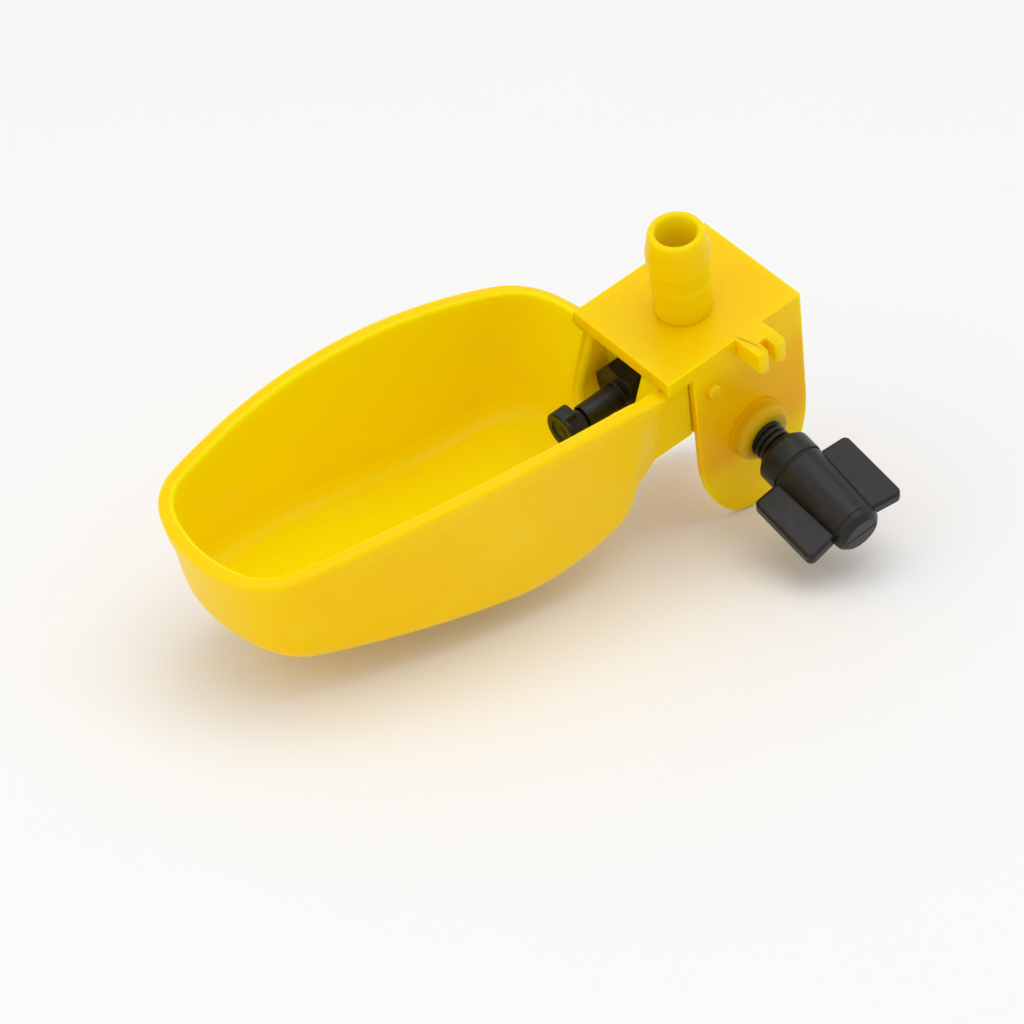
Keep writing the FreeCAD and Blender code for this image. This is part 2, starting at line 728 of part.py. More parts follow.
def trigger_head():
    """The round head that the bird pushes, dished in front and bored for the stem."""
    front = head_back() - d["head_len"]
    blank = solid("Cylinder", "head_blank", (nip_x, front, nip_z), ALONG_Y,
                  Radius=d["head_dia"] / 2, Height=d["head_len"])
    y_front = front.number
    disc = soften("head_disc", blank, d["head_edge"], lambda e: abs(e.BoundBox.YMax - y_front) < 1e-6, "Chamfer")
    dish = solid("Cylinder", "head_dish", (nip_x, front, nip_z), ALONG_Y,
                 Radius=d["head_dish_dia"] / 2, Height=d["head_dish_deep"])
    socket = solid("Cylinder", "head_socket", (nip_x, head_back() - d["stem_grip"], nip_z), ALONG_Y,
                   Radius=d["stem_dia"] / 2, Height=d["stem_grip"] + d["gap"])
    return cut("trigger_head", disc, fuse("head_ways", [dish, socket]))


def valve_stem():
    """The rod from the head to the seat, with the stop disc behind the seal."""
    start = head_back() - d["stem_grip"]
    stop_at = seat_at + d["seal_thk"]
    rod = solid("Cylinder", "rod", (nip_x, start, nip_z), ALONG_Y,
                Radius=d["stem_dia"] / 2, Height=stop_at - start + d["stop_thk"])
    stop = solid("Cylinder", "stop", (nip_x, stop_at, nip_z), ALONG_Y,
                 Radius=d["stop_dia"] / 2, Height=d["stop_thk"])
    return fuse("valve_stem", [rod, stop])


def valve_seal():
    """The rubber washer on the stem, between the seat and the stop."""
    disc = solid("Cylinder", "seal_disc", (nip_x, seat_at, nip_z), ALONG_Y,
                 Radius=d["seal_dia"] / 2, Height=d["seal_thk"])
    hole = solid("Cylinder", "seal_hole", (nip_x, seat_at, nip_z), ALONG_Y,
                 Radius=d["stem_dia"] / 2, Height=d["seal_thk"])
    return cut("valve_seal", disc, hole)


def return_spring():
    """The coil between the stem's stop and the blind end of the valve bore."""
    start = seat_at + d["seal_thk"] + d["stop_thk"] + d["spring_wire"] / 2
    end = -d["jaw_front"] + valve_bore_len() - d["spring_wire"] / 2
    coil_r = (d["spring_dia"] - d["spring_wire"]) / 2
    path = doc.addObject("Part::Helix", "spring_path")
    bind(path, "Radius", coil_r)
    bind(path, "Height", end - start)
    bind(path, "Pitch", (end - start) / d["spring_turns"])
    put(path, (nip_x, start, nip_z), ALONG_Y)
    wire = doc.addObject("Part::Circle", "spring_section")
    bind(wire, "Radius", d["spring_wire"] / 2)
    put(wire, (nip_x + coil_r, start, nip_z), FreeCAD.Rotation(Z_AXIS, ALONG_Y.multVec(Y_AXIS)))
    sweep = doc.addObject("Part::Sweep", "return_spring")
    sweep.Sections = [wire]
    sweep.Spine = path
    sweep.Solid = True
    sweep.Frenet = True
    return sweep


def seal_ring():
    """The rubber ring round the tail, in its seat in the housing's face."""
    inner = d["tail_dia"] / 2 + d["play"]
    return solid("Torus", "seal_ring", (nip_x, -d["jaw_front"] + d["ring_cord"] / 2, nip_z), ALONG_Y,
                 Radius1=inner + d["ring_cord"] / 2, Radius2=d["ring_cord"] / 2)


# Wing screw.

def screw_axes():
    """The screw's own directions: along it, across it through both wings, and square to the wings."""
    ahead = V(1, -d["screw_swing"].number, -d["screw_drop"].number)
    ahead.normalize()
    level = ahead.cross(Y_AXIS)
    level.normalize()
    across = level.cross(ahead) + level * d["screw_roll"].number
    across.normalize()
    return ahead, across, ahead.cross(across)


def wing_screw():
    """The clamp screw: shank, collar, tapered barrel with a domed cap, and two wings."""
    ahead, across, up = screw_axes()
    tip = -(d["jaw_thk"] + d["screw_in"])
    collar = d["boss_tall"] + d["screw_out"]
    barrel = collar + d["collar_len"]
    end = barrel + d["barrel_len"]
    cap = end + d["cap_len"]
    shank_r, collar_r, wide_r = d["screw_dia"] / 2, d["collar_dia"] / 2, d["collar_wide_dia"] / 2
    barrel_r, end_r = d["barrel_dia"] / 2, d["barrel_end_dia"] / 2
    corners = [
        (tip, 0), (tip, shank_r - d["screw_edge"]), (tip + d["screw_edge"], shank_r), (collar, shank_r),
        (collar, collar_r), (collar + d["collar_rise"], wide_r), (barrel, wide_r), (barrel, barrel_r),
        (end, end_r), (cap, end_r - d["cap_len"] / 2), (cap, 0),
    ]
    turned = revolve("screw_turned", polygon("screw_profile", ahead, across, corners, screw_at), ahead, screw_at)
    foot = V(*(number_of(size) for size in screw_at))

    def reach(edge):
        return max((vertex.Point - foot).dot(ahead) for vertex in edge.Vertexes)

    body = soften("screw_body", turned, d["cap_len"] / 3,
                  lambda e: abs(reach(e) - cap.number) < 1e-6 and e.Length > cap.number / 2)
    far = barrel + d["wing_len"]
    span = d["wing_reach"]
    outline_points = [
        (barrel, -collar_r), (barrel + d["wing_slope"], -span), (far + d["wing_flare"], -span),
        (far, -collar_r), (far, collar_r), (far + d["wing_flare"], span), (barrel + d["wing_slope"], span),
        (barrel, collar_r),
    ]
    blade = extrude("wing_blade", polygon("wing_outline", ahead, across, outline_points, screw_at), d["wing_thk"],
                    up, True)
    rounded_from = (collar_r + d["wing_round"]).number

    def outer_upright(edge):
        return along(edge, up) and abs((edge.Vertexes[0].Point - foot).dot(across)) > rounded_from

    wings = soften("wings", blade, d["wing_round"], outer_upright)
    return fuse("wing_screw", [body, wings])


NODES = {
    "bracket": bracket(),
    "cup": cup(),
    "nipple_body": nipple_body(),
    "trigger_head": trigger_head(),
    "valve_stem": valve_stem(),
    "valve_seal": valve_seal(),
    "return_spring": return_spring(),
    "seal_ring": seal_ring(),
    "wing_screw": wing_screw(),
}
doc.recompute()

os.makedirs("parts", exist_ok=True)
for item in doc.Objects:
    if "Invalid" in item.State or "Error" in item.State:
        raise RuntimeError(f"{item.Name} did not build: {item.State}")
for name, item in NODES.items():
    item.Label = name
    shape = item.Shape
    if shape.isNull() or not shape.isValid() or len(shape.Solids) != 1:
        raise RuntimeError(f"{name} is not one valid solid")
    shape.exportStep(f"parts/{name}.step")
    box = shape.BoundBox
    limits = (box.XMin, box.XMax, box.YMin, box.YMax, box.ZMin, box.ZMax)
    print(name, round(shape.Volume, 1), [round(limit, 2) for limit in limits])
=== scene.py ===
"""A poultry drinking cup: a glossy yellow bowl and clamp bracket, a black nipple valve and a wing screw.

All sizes are in millimetres in the frame of the CAD model, whose origin is on the hose barb's axis at the
plate's top face: +Z up along the barb, -Y towards the drinking lip, +X towards the wing screw.
"""
import logging
import math
from collections.abc import Iterator, Sequence
from contextlib import contextmanager
from dataclasses import dataclass
from enum import Enum

import bmesh
import bpy
import numpy as np
from mathutils import Matrix


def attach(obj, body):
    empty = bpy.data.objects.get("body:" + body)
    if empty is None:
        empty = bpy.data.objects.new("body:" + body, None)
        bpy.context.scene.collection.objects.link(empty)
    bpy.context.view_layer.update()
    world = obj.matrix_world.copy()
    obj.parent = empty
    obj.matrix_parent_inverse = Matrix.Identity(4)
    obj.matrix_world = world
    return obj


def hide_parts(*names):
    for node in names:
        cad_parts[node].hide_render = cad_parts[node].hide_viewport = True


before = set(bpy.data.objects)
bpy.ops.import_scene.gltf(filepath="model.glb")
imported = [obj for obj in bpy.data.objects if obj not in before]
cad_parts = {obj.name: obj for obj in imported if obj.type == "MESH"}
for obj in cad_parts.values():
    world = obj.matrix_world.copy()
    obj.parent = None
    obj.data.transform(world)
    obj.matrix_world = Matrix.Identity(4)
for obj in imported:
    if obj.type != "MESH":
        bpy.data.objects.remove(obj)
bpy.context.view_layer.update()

MM = 0.001
SHARP_DEG = 32.0
MERGE_M = 2e-7
END_RING = 0.12
log = logging.getLogger("drinking_cup")


class Slot(Enum):
    """The record's material slots."""

    YELLOW = "yellow_plastic"
    BLACK = "black_plastic"
    RUBBER = "rubber"
    STEEL = "steel"


class Body(Enum):
    """The bodies that pieces ride on."""

    FRAME = "frame"
    TRIGGER = "trigger"
    SCREW = "screw"


class Cut(Enum):
    """The two ways to combine a piece with a second shape."""

    AWAY = "DIFFERENCE"
    JOIN = "UNION"


# Surfaces.

@dataclass
class Surface:
    """One or more closed shells: points in millimetres and faces as lists of point numbers."""

    points: np.ndarray
    faces: list[list[int]]

    def __add__(self, other: "Surface") -> "Surface":
        """Both surfaces as one, their points kept apart."""
        shift = len(self.points)
        moved = [[number + shift for number in face] for face in other.faces]
        return Surface(np.vstack([self.points, other.points]), self.faces + moved)


@dataclass(frozen=True)
class Axes:
    """A place and three directions, for shapes that are worked out in their own coordinates."""

    origin: tuple[float, float, float] = (0.0, 0.0, 0.0)
    first: tuple[float, float, float] = (1.0, 0.0, 0.0)
    second: tuple[float, float, float] = (0.0, 1.0, 0.0)
    third: tuple[float, float, float] = (0.0, 0.0, 1.0)

    def place(self, points: np.ndarray) -> np.ndarray:
        """The points in the object's frame: origin + first*x + second*y + third*z."""
        return np.asarray(self.origin) + points @ np.array([self.first, self.second, self.third])


def along_x(y: float = 0.0, z: float = 0.0) -> Axes:
    """Axes whose third direction runs along +X through a place in Y and Z."""
    return Axes((0, y, z), (0, 1, 0), (0, 0, 1), (1, 0, 0))


def along_y(x: float, z: float) -> Axes:
    """Axes whose third direction runs along +Y through a place in X and Z."""
    return Axes((x, 0, z), (0, 0, 1), (1, 0, 0), (0, 1, 0))


def grid_surface(points: np.ndarray, loop_rows: bool = False, caps: bool = False) -> Surface:
    """Quads over a grid of points whose columns form a loop.

    Args:
        points: rows x columns x 3.
        loop_rows: whether the last row joins the first one.
        caps: whether the first and last rows are closed by one face each.

    Returns:
        The surface. Quad (r, c) has the corners (r, c), (r, c+1), (r+1, c+1) and (r+1, c), counted round
        the loop.
    """
    rows, columns, _ = points.shape
    r = np.arange(rows if loop_rows else rows - 1)[:, None]
    c = np.arange(columns)[None, :]
    below, above = r * columns, (r + 1) % rows * columns
    after = (c + 1) % columns
    quads = np.stack([below + c, below + after, above + after, above + c], axis=-1).reshape(-1, 4)
    faces = quads.tolist()
    if caps:
        faces.append(list(range(columns))[::-1])
        faces.append(list(range((rows - 1) * columns, rows * columns)))
    return Surface(points.reshape(-1, 3), faces)


def rounded(corners: Sequence[Sequence[float]], steps: int = 6, closed: bool = True) -> np.ndarray:
    """A path through corners, each rounded by a tangent arc.

    Each arc's centre lies on its corner's bisector at radius / sin(half the corner's angle), and its ends
    lie at radius / tan(half the corner's angle) from the corner along both sides.

    Args:
        corners: rows of x, y and radius.
        steps: points on each arc.
        closed: whether the path returns to its start; if not, its two ends stay sharp.

    Returns:
        An array of points, N x 2.
    """
    table = np.asarray(corners, float)
    p, radius = table[:, :2], np.maximum(table[:, 2], 0.01)[:, None]
    before, after = np.roll(p, 1, 0) - p, np.roll(p, -1, 0) - p
    u = before / np.linalg.norm(before, axis=1, keepdims=True)
    v = after / np.linalg.norm(after, axis=1, keepdims=True)
    half = np.arccos(np.clip((u * v).sum(1, keepdims=True), -0.999999, 0.999999)) / 2
    middle_way = u + v
    bisector = middle_way / np.maximum(np.linalg.norm(middle_way, axis=1, keepdims=True), 1e-9)
    centre = p + bisector * radius / np.sin(half)
    start = p + u * radius / np.tan(half) - centre
    end = p + v * radius / np.tan(half) - centre
    a0 = np.arctan2(start[:, 1], start[:, 0])
    sweep = np.arctan2(end[:, 1], end[:, 0]) - a0
    sweep = (sweep + np.pi) % (2 * np.pi) - np.pi
    angle = a0[:, None] + sweep[:, None] * np.linspace(0, 1, steps)[None, :]
    arcs = centre[:, None, :] + radius[:, :, None] * np.stack([np.cos(angle), np.sin(angle)], axis=-1)
    if closed:
        return arcs.reshape(-1, 2)
    return np.vstack([p[:1], arcs[1:-1].reshape(-1, 2), p[-1:]])


def rectangle(x0: float, y0: float, x1: float, y1: float, radius: float, steps: int = 6) -> np.ndarray:
    """A rectangle with rounded corners, counter-clockwise."""
    return rounded([(x0, y0, radius), (x1, y0, radius), (x1, y1, radius), (x0, y1, radius)], steps)


def inwards(loop: np.ndarray, amounts: np.ndarray) -> np.ndarray:
    """Copies of a counter-clockwise loop, moved inwards along its mitres.

    A point moves by amount * (n1 + n2) / (1 + n1 . n2), where n1 and n2 are its two sides' outward normals.

    Args:
        loop: N x 2.
        amounts: K distances.

    Returns:
        K x N x 2.
    """
    side = np.roll(loop, -1, 0) - loop
    side = side / np.maximum(np.linalg.norm(side, axis=1, keepdims=True), 1e-9)
    normal = np.stack([side[:, 1], -side[:, 0]], axis=-1)
    prior = np.roll(normal, 1, 0)
    mitre = (prior + normal) / (1 + (prior * normal).sum(1, keepdims=True))
    return loop[None] - amounts[:, None, None] * mitre[None]


def prism(loop: np.ndarray, low: float, high: float, edge: float, axes: Axes = Axes(),
          steps: int = 6) -> Surface:
    """A loop carried along the third axis, its two ends rounded by quarter circles.

    On an end, a ring at angle a is moved inwards by edge * (1 - sin a) and lies edge * (1 - cos a) from it.
    One more ring, END_RING further in, keeps the end's flat face apart from the rounding.

    Args:
        loop: a counter-clockwise outline, N x 2.
        low, high: where it starts and ends along the third axis.
        edge: the radius of the rounding.
        axes: where the shape stands.
        steps: rings on each rounding.

    Returns:
        A closed surface.
    """
    a = np.linspace(0, np.pi / 2, steps)
    inset = edge * (1 - np.sin(a))
    rise = edge * (1 - np.cos(a))
    inner = inset[0] + END_RING
    insets = np.concatenate([[inner], inset, inset[::-1], [inner]])
    levels = np.concatenate([[low], low + rise, high - rise[::-1], [high]])
    rings = inwards(loop, insets)
    heights = np.broadcast_to(levels[:, None, None], rings.shape[:2] + (1,))
    return grid_surface(axes.place(np.concatenate([rings, heights], axis=-1)), caps=True)


def lathe(profile: np.ndarray, axes: Axes, segments: int = 96) -> Surface:
    """A profile of (distance along the third axis, radius) turned round that axis.

    Point (r, c) lies at radius * (cos t, sin t) across the axis, with t = 2 pi c / segments.

    Args:
        profile: N x 2; it starts and ends at radius 0.
        axes: the axis and where it stands.
        segments: points round the axis.

    Returns:
        A closed surface.
    """
    t = np.linspace(0, 2 * np.pi, segments, endpoint=False)
    along, radius = profile[:, :1], profile[:, 1:]
    return grid_surface(axes.place(np.stack([radius * np.cos(t), radius * np.sin(t), along + 0 * t], -1)))


def turned(corners: Sequence[Sequence[float]], axes: Axes, segments: int, steps: int) -> Surface:
    """A turned shape whose profile's corners are rounded by arcs of a number of steps."""
    return lathe(rounded(corners, steps, False), axes, segments)


@contextmanager
def reworked(mesh: bpy.types.Mesh) -> Iterator[bmesh.types.BMesh]:
    """Opens a mesh for work and writes it back afterwards."""
    work = bmesh.new()
    work.from_mesh(mesh)
    yield work
    work.to_mesh(mesh)
    work.free()


def tidy_mesh(mesh: bpy.types.Mesh) -> None:
    """Merges doubles and turns every shell's faces outwards."""
    with reworked(mesh) as work:
        bmesh.ops.remove_doubles(work, verts=work.verts, dist=MERGE_M)
        bmesh.ops.dissolve_degenerate(work, edges=work.edges, dist=MERGE_M)
        bmesh.ops.recalc_face_normals(work, faces=work.faces)


def smooth_mesh(mesh: bpy.types.Mesh) -> None:
    """Smooths all but the sharp edges, after faces of more than four sides are split for even shading."""
    with reworked(mesh) as work:
        wide = [face for face in work.faces if len(face.verts) > 4]
        bmesh.ops.triangulate(work, faces=wide, quad_method="BEAUTY", ngon_method="BEAUTY")
    mesh.shade_smooth()
    mesh.set_sharp_from_angle(angle=math.radians(SHARP_DEG))


def new_object(name: str, surface: Surface) -> bpy.types.Object:
    """A mesh object at the origin from a surface, its place in its mesh."""
    mesh = bpy.data.meshes.new(name)
    mesh.from_pydata((surface.points * MM).tolist(), [], surface.faces)
    tidy_mesh(mesh)
    smooth_mesh(mesh)
    piece = bpy.data.objects.new(name, mesh)
    bpy.context.scene.collection.objects.link(piece)
    return piece


def modify(piece: bpy.types.Object, kind: str, settings: dict[str, object]) -> None:
    """Runs one modifier on a piece and keeps the result as its mesh.

    Args:
        piece: the object that changes.
        kind: the modifier's type.
        settings: its properties.
    """
    modifier = piece.modifiers.new(kind, kind)
    for key, setting in settings.items():
        setattr(modifier, key, setting)
    result = bpy.data.meshes.new_from_object(piece.evaluated_get(bpy.context.evaluated_depsgraph_get()))
    piece.modifiers.clear()
    old, piece.data = piece.data, result
    bpy.data.meshes.remove(old)


def combine(piece: bpy.types.Object, tool: Surface, way: Cut) -> None:
    """Cuts a shape away from a piece, or joins it on.

    Args:
        piece: the object that changes.
        tool: the second shape.
        way: whether it is cut away or joined on.
    """
    other = new_object(piece.name + "_tool", tool)
    modify(piece, "BOOLEAN", {"operation": way.value, "object": other, "solver": "MANIFOLD"})
    bpy.data.objects.remove(other)
    smooth_mesh(piece.data)


def vertex_array(mesh: bpy.types.Mesh, key: str) -> np.ndarray:
    """A mesh's points in metres ("co") or its normals ("normal"), N x 3."""
    flat = np.zeros(len(mesh.vertices) * 3, np.float32)
    mesh.vertices.foreach_get(key, flat)
    return flat.reshape(-1, 3)


def mark(mesh: bpy.types.Mesh, values: np.ndarray) -> None:
    """Stores one number on each point, as the attribute "inside"."""
    mesh.attributes.new("inside", "FLOAT", "POINT").data.foreach_set("value", values.astype(np.float32))


# Finishes.

class Value:
    """A node's number output that takes part in Python arithmetic; each step adds one Math node."""

    def __init__(self, graph: "Graph", socket: bpy.types.NodeSocket) -> None:
        """Keeps the graph and the socket."""
        self.graph, self.socket = graph, socket

    def _math(self, operation: str, first: object, second: object) -> "Value":
        """One Math node on two values."""
        return self.graph.node("ShaderNodeMath", {"operation": operation}, {0: first, 1: second})[0]

    def __add__(self, other: object) -> "Value":
        """self + other."""
        return self._math("ADD", self, other)

    def __radd__(self, other: object) -> "Value":
        """other + self."""
        return self._math("ADD", other, self)

    def __sub__(self, other: object) -> "Value":
        """self - other."""
        return self._math("SUBTRACT", self, other)

    def __rsub__(self, other: object) -> "Value":
        """other - self."""
        return self._math("SUBTRACT", other, self)

    def __mul__(self, other: object) -> "Value":
        """self * other."""
        return self._math("MULTIPLY", self, other)

    def __rmul__(self, other: object) -> "Value":
        """other * self."""
        return self._math("MULTIPLY", other, self)


class Outputs:
    """A node's outputs, by number or name, as Values."""

    def __init__(self, graph: "Graph", node: bpy.types.Node) -> None:
        """Keeps the graph and the node."""
        self.graph, self.origin = graph, node

    def __getitem__(self, key: int | str) -> Value:
        """One output."""
        return Value(self.graph, self.origin.outputs[key])


class Graph:
    """A material's or world's nodes, built from Python expressions."""

    def __init__(self, tree: bpy.types.NodeTree) -> None:
        """Empties the tree."""
        self.tree = tree
        tree.nodes.clear()

    def node(self, kind: str, settings: dict[str, object] | None = None,
             sockets: dict[int | str, object] | None = None) -> Outputs:
        """Adds one node.

        Args:
            kind: the node's type.
            settings: its properties, set first; "stops" is a ramp's list of (position, colour).
            sockets: its inputs' values or links.

        Returns:
            The node's outputs.
        """
        made = self.tree.nodes.new(kind)
        for key, setting in (settings or {}).items():
            if key == "stops":
                self._ramp(made.color_ramp, setting)
            else:
                setattr(made, key, setting)
        for key, item in (sockets or {}).items():
            if isinstance(item, Value):
                self.tree.links.new(item.socket, made.inputs[key])
            else:
                made.inputs[key].default_value = item
        return Outputs(self, made)

    @staticmethod
    def _ramp(ramp: bpy.types.ColorRamp, stops: Sequence[tuple[float, Sequence[float]]]) -> None:
        """Sets a ramp's stops."""
        while len(ramp.elements) < len(stops):
            ramp.elements.new(0.5)
        for element, (position, colour) in zip(ramp.elements, stops):
            element.position = position
            element.color = colour

    def noise(self, where: Value, scale: float, detail: float = 3.0, rough: float = 0.55) -> Value:
        """Noise from 0 to 1 at a place; scale counts its cells per metre."""
        return self.node("ShaderNodeTexNoise", None,
                         {"Vector": where, "Scale": scale, "Detail": detail, "Roughness": rough})["Fac"]

    def stretch(self, where: Value, scale: Sequence[float], turn: Sequence[float] = (0, 0, 0)) -> Value:
        """Coordinates scaled and turned by a Mapping node."""
        return self.node("ShaderNodeMapping", None, {"Vector": where, "Scale": scale, "Rotation": turn})[0]

    def span(self, value: Value, low: float, high: float) -> Value:
        """0 below low, 1 above high and smooth between."""
        return self.node("ShaderNodeMapRange", {"interpolation_type": "SMOOTHSTEP"},
                         {"Value": value, "From Min": low, "From Max": high})[0]

    def mix(self, factor: object, first: object, second: object) -> Value:
        """A colour between two colours."""
        return self.node("ShaderNodeMix", {"data_type": "RGBA"}, {0: factor, 6: first, 7: second})[2]

    def bump(self, height: Value, strength: float, distance: float) -> Value:
        """A normal from a height; distance is in metres."""
        return self.node("ShaderNodeBump", None,
                         {"Strength": strength, "Distance": distance, "Height": height})[0]


Colour = tuple[float, float, float, float]


def opaque(red: float, green: float, blue: float) -> Colour:
    """A linear colour with full alpha."""
    return (red, green, blue, 1.0)


@dataclass(frozen=True)
class Finish:
    """What every finish has: a name and a way to become a material."""

    name: str

    def material(self) -> bpy.types.Material:
        """The finish as a material of nodes."""
        made = bpy.data.materials.new(self.name)
        made.use_nodes = True
        graph = Graph(made.node_tree)
        where = graph.node("ShaderNodeTexCoord")["Object"]
        shader = graph.node("ShaderNodeBsdfPrincipled", None, self.inputs(graph, where))
        graph.node("ShaderNodeOutputMaterial", None, {"Surface": shader["BSDF"]})
        return made

    def inputs(self, graph: Graph, where: Value) -> dict[int | str, object]:
        """The shader's inputs, worked out from a place on the surface."""
        raise NotImplementedError


@dataclass(frozen=True)
class YellowPlastic(Finish):
    """Glossy moulded plastic, a little cloudy, with soft mottling and faint flow streaks.

    It is paler where the attribute "inside" is 1, a painted light for the brighter inside of the bowl and the
    barb's bore. From 3 to 28 mm down a painted shade deepens it, as strongly as the material's field says,
    for the shadow there and the little light that the thin wall lets through from the dark gap behind it, and
    more so on the boss that stands out past 11 mm in X, as a painted shadow of the screw.
    """

    base: Colour = opaque(0.965, 0.62, 0.0)
    deep: Colour = opaque(0.955, 0.575, 0.0)
    # painted light: a paler yellow for the brighter light inside the bowl and in the barb's bore
    pale: Colour = opaque(0.97, 0.72, 0.04)
    painted_inner_light: Colour = opaque(1.0, 0.755, 0.0)
    # painted shade: the colour of the darker band from 3 to 28 mm down
    shaded: Colour = opaque(0.80, 0.40, 0.0)
    # painted shadow: the darker olive colour of the boss where the screw shades it
    boss: Colour = opaque(0.48, 0.33, 0.01)
    gloss: float = 0.34
    streaks: float = 0.25
    # how strongly the painted shade darkens that band
    painted_shade_amount: float = 0.0

    def inputs(self, graph: Graph, where: Value) -> dict[int | str, object]:
        """Mottled yellow with painted light and painted shade, roughness that wanders, and a bump of fine
        grain and slow ripple.
        """
        slow = graph.noise(where, 70.0, 2.0)
        fine = graph.noise(where, 1400.0, 3.0)
        flow = graph.noise(graph.stretch(where, (1.0, 0.22, 0.5), (0.0, 0.0, 0.35)), 260.0, 4.0, 0.6)
        streak = graph.span(flow, 0.54, 0.72) * self.streaks
        inside = graph.node("ShaderNodeAttribute", {"attribute_name": "inside"})["Fac"]
        colour = graph.mix(graph.span(slow, 0.3, 0.7) * 0.3, self.base, self.deep)
        # painted light: paler where the attribute "inside" marks faces towards the bowl's middle or the
        # barb's bore
        colour = graph.mix(inside, colour, self.painted_inner_light)
        along = graph.node("ShaderNodeSeparateXYZ", None, {"Vector": where})
        down = along["Z"] * -1000.0 + (slow - 0.5) * 4.0
        # painted shade: a band from 3 to 28 mm down, for shadow and the weak light through the thin wall
        painted_shade_mask = graph.span(down, 3.0, 11.0) * (1.0 - graph.span(down, 23.0, 28.0)) * self.painted_shade_amount
        colour = graph.mix(painted_shade_mask, colour, self.shaded)
        # painted shadow: the boss past 11 mm in X is darker and olive, for the screw's shadow
        colour = graph.mix(graph.span(along["X"] * 1000.0, 11.0, 12.2) * painted_shade_mask, colour, self.boss)
        colour = graph.mix(streak, colour, self.pale)
        rough = self.gloss + (slow - 0.5) * 0.10 + (fine - 0.5) * 0.06 + streak * 0.10
        grain = graph.bump(fine * 0.35 + slow * 2.0, 0.10, 0.00006)
        return {"Base Color": colour, "Roughness": rough, "Normal": grain, "IOR": 1.5,
                "Specular IOR Level": 0.10,
                "Subsurface Weight": 1.0, "Subsurface Radius": (1.0, 0.85, 0.05), "Subsurface Scale": 0.0026}


@dataclass(frozen=True)
class BlackPlastic(Finish):
    """Satin black plastic with a fine grain, brushed rub marks and a few pale scuffs."""

    base: Colour = opaque(0.007, 0.0066, 0.0063)
    worn: Colour = opaque(0.034, 0.033, 0.032)
    gloss: float = 0.36

    def inputs(self, graph: Graph, where: Value) -> dict[int | str, object]:
        """Black with pale rubs, and a bump of grain and rubs."""
        grain = graph.noise(where, 2600.0, 3.0)
        rub = graph.noise(graph.stretch(where, (0.25, 1.0, 1.0), (0.0, 0.15, 0.05)), 700.0, 4.0, 0.65)
        slow = graph.noise(where, 160.0, 2.0)
        specks = graph.span(graph.noise(where, 900.0, 1.0), 0.70, 0.80)
        colour = graph.mix(graph.span(rub, 0.45, 0.80) * 0.45 + specks * 0.25, self.base, self.worn)
        rough = self.gloss + (grain - 0.5) * 0.16 + (slow - 0.5) * 0.12 + specks * 0.1
        bump = graph.bump(grain + rub * 0.6, 0.22, 0.00005)
        return {"Base Color": colour, "Roughness": rough, "Normal": bump, "IOR": 1.5,
                "Specular IOR Level": 0.3}


@dataclass(frozen=True)
class Rubber(Finish):
    """Soft black rubber with a dusty, uneven surface."""

    base: Colour = opaque(0.022, 0.022, 0.023)
    dusty: Colour = opaque(0.060, 0.058, 0.055)

    def inputs(self, graph: Graph, where: Value) -> dict[int | str, object]:
        """Dull black with dust in patches."""
        slow = graph.noise(where, 500.0, 3.0)
        fine = graph.noise(where, 3500.0, 2.0)
        return {"Base Color": graph.mix(graph.span(slow, 0.4, 0.7) * 0.5, self.base, self.dusty),
                "Roughness": 0.62 + (slow - 0.5) * 0.2, "Normal": graph.bump(fine, 0.25, 0.00004)}


@dataclass(frozen=True)
class SpringSteel(Finish):
    """Drawn steel wire with fine marks round it."""

    base: Colour = opaque(0.56, 0.56, 0.57)
    dull: Colour = opaque(0.40, 0.39, 0.38)

    def inputs(self, graph: Graph, where: Value) -> dict[int | str, object]:
        """Bright metal with dull drawn marks."""
        marks = graph.noise(graph.stretch(where, (1.0, 3.0, 1.0)), 1800.0, 3.0)
        return {"Base Color": graph.mix(marks, self.base, self.dull), "Metallic": 1.0,
                "Roughness": 0.24 + (marks - 0.5) * 0.2, "Normal": graph.bump(marks, 0.15, 0.00002)}


def even_normals(piece: bpy.types.Object) -> None:
    """Weights the normals by face area, so that wide flat faces look flat beside their rounded edges."""
    modify(piece, "WEIGHTED_NORMAL", {"keep_sharp": True})


def dress(piece: bpy.types.Object, material: bpy.types.Material, body: Body, slot: Slot,
          *stands_for: str) -> None:
    """Gives a new piece its material and body, and hides the CAD nodes that it stands for.

    Args:
        piece: the new object.
        material: its material.
        body: the body that it rides on.
        slot: the record's slot; not used.
        stands_for: the CAD nodes that it replaces.
    """
    even_normals(piece)
    piece.data.materials.clear()
    piece.data.materials.append(material)
    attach(piece, body.value)
    if stands_for:
        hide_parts(*stands_for)
    log.info("%s: %d faces", piece.name, len(piece.data.polygons))


def repaint(node: str, material: bpy.types.Material) -> None:
    """Gives a CAD node a new material."""
    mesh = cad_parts[node].data
    mesh.materials.clear()
    mesh.materials.append(material)
    log.info("%s keeps its solid", node)


# The cup.

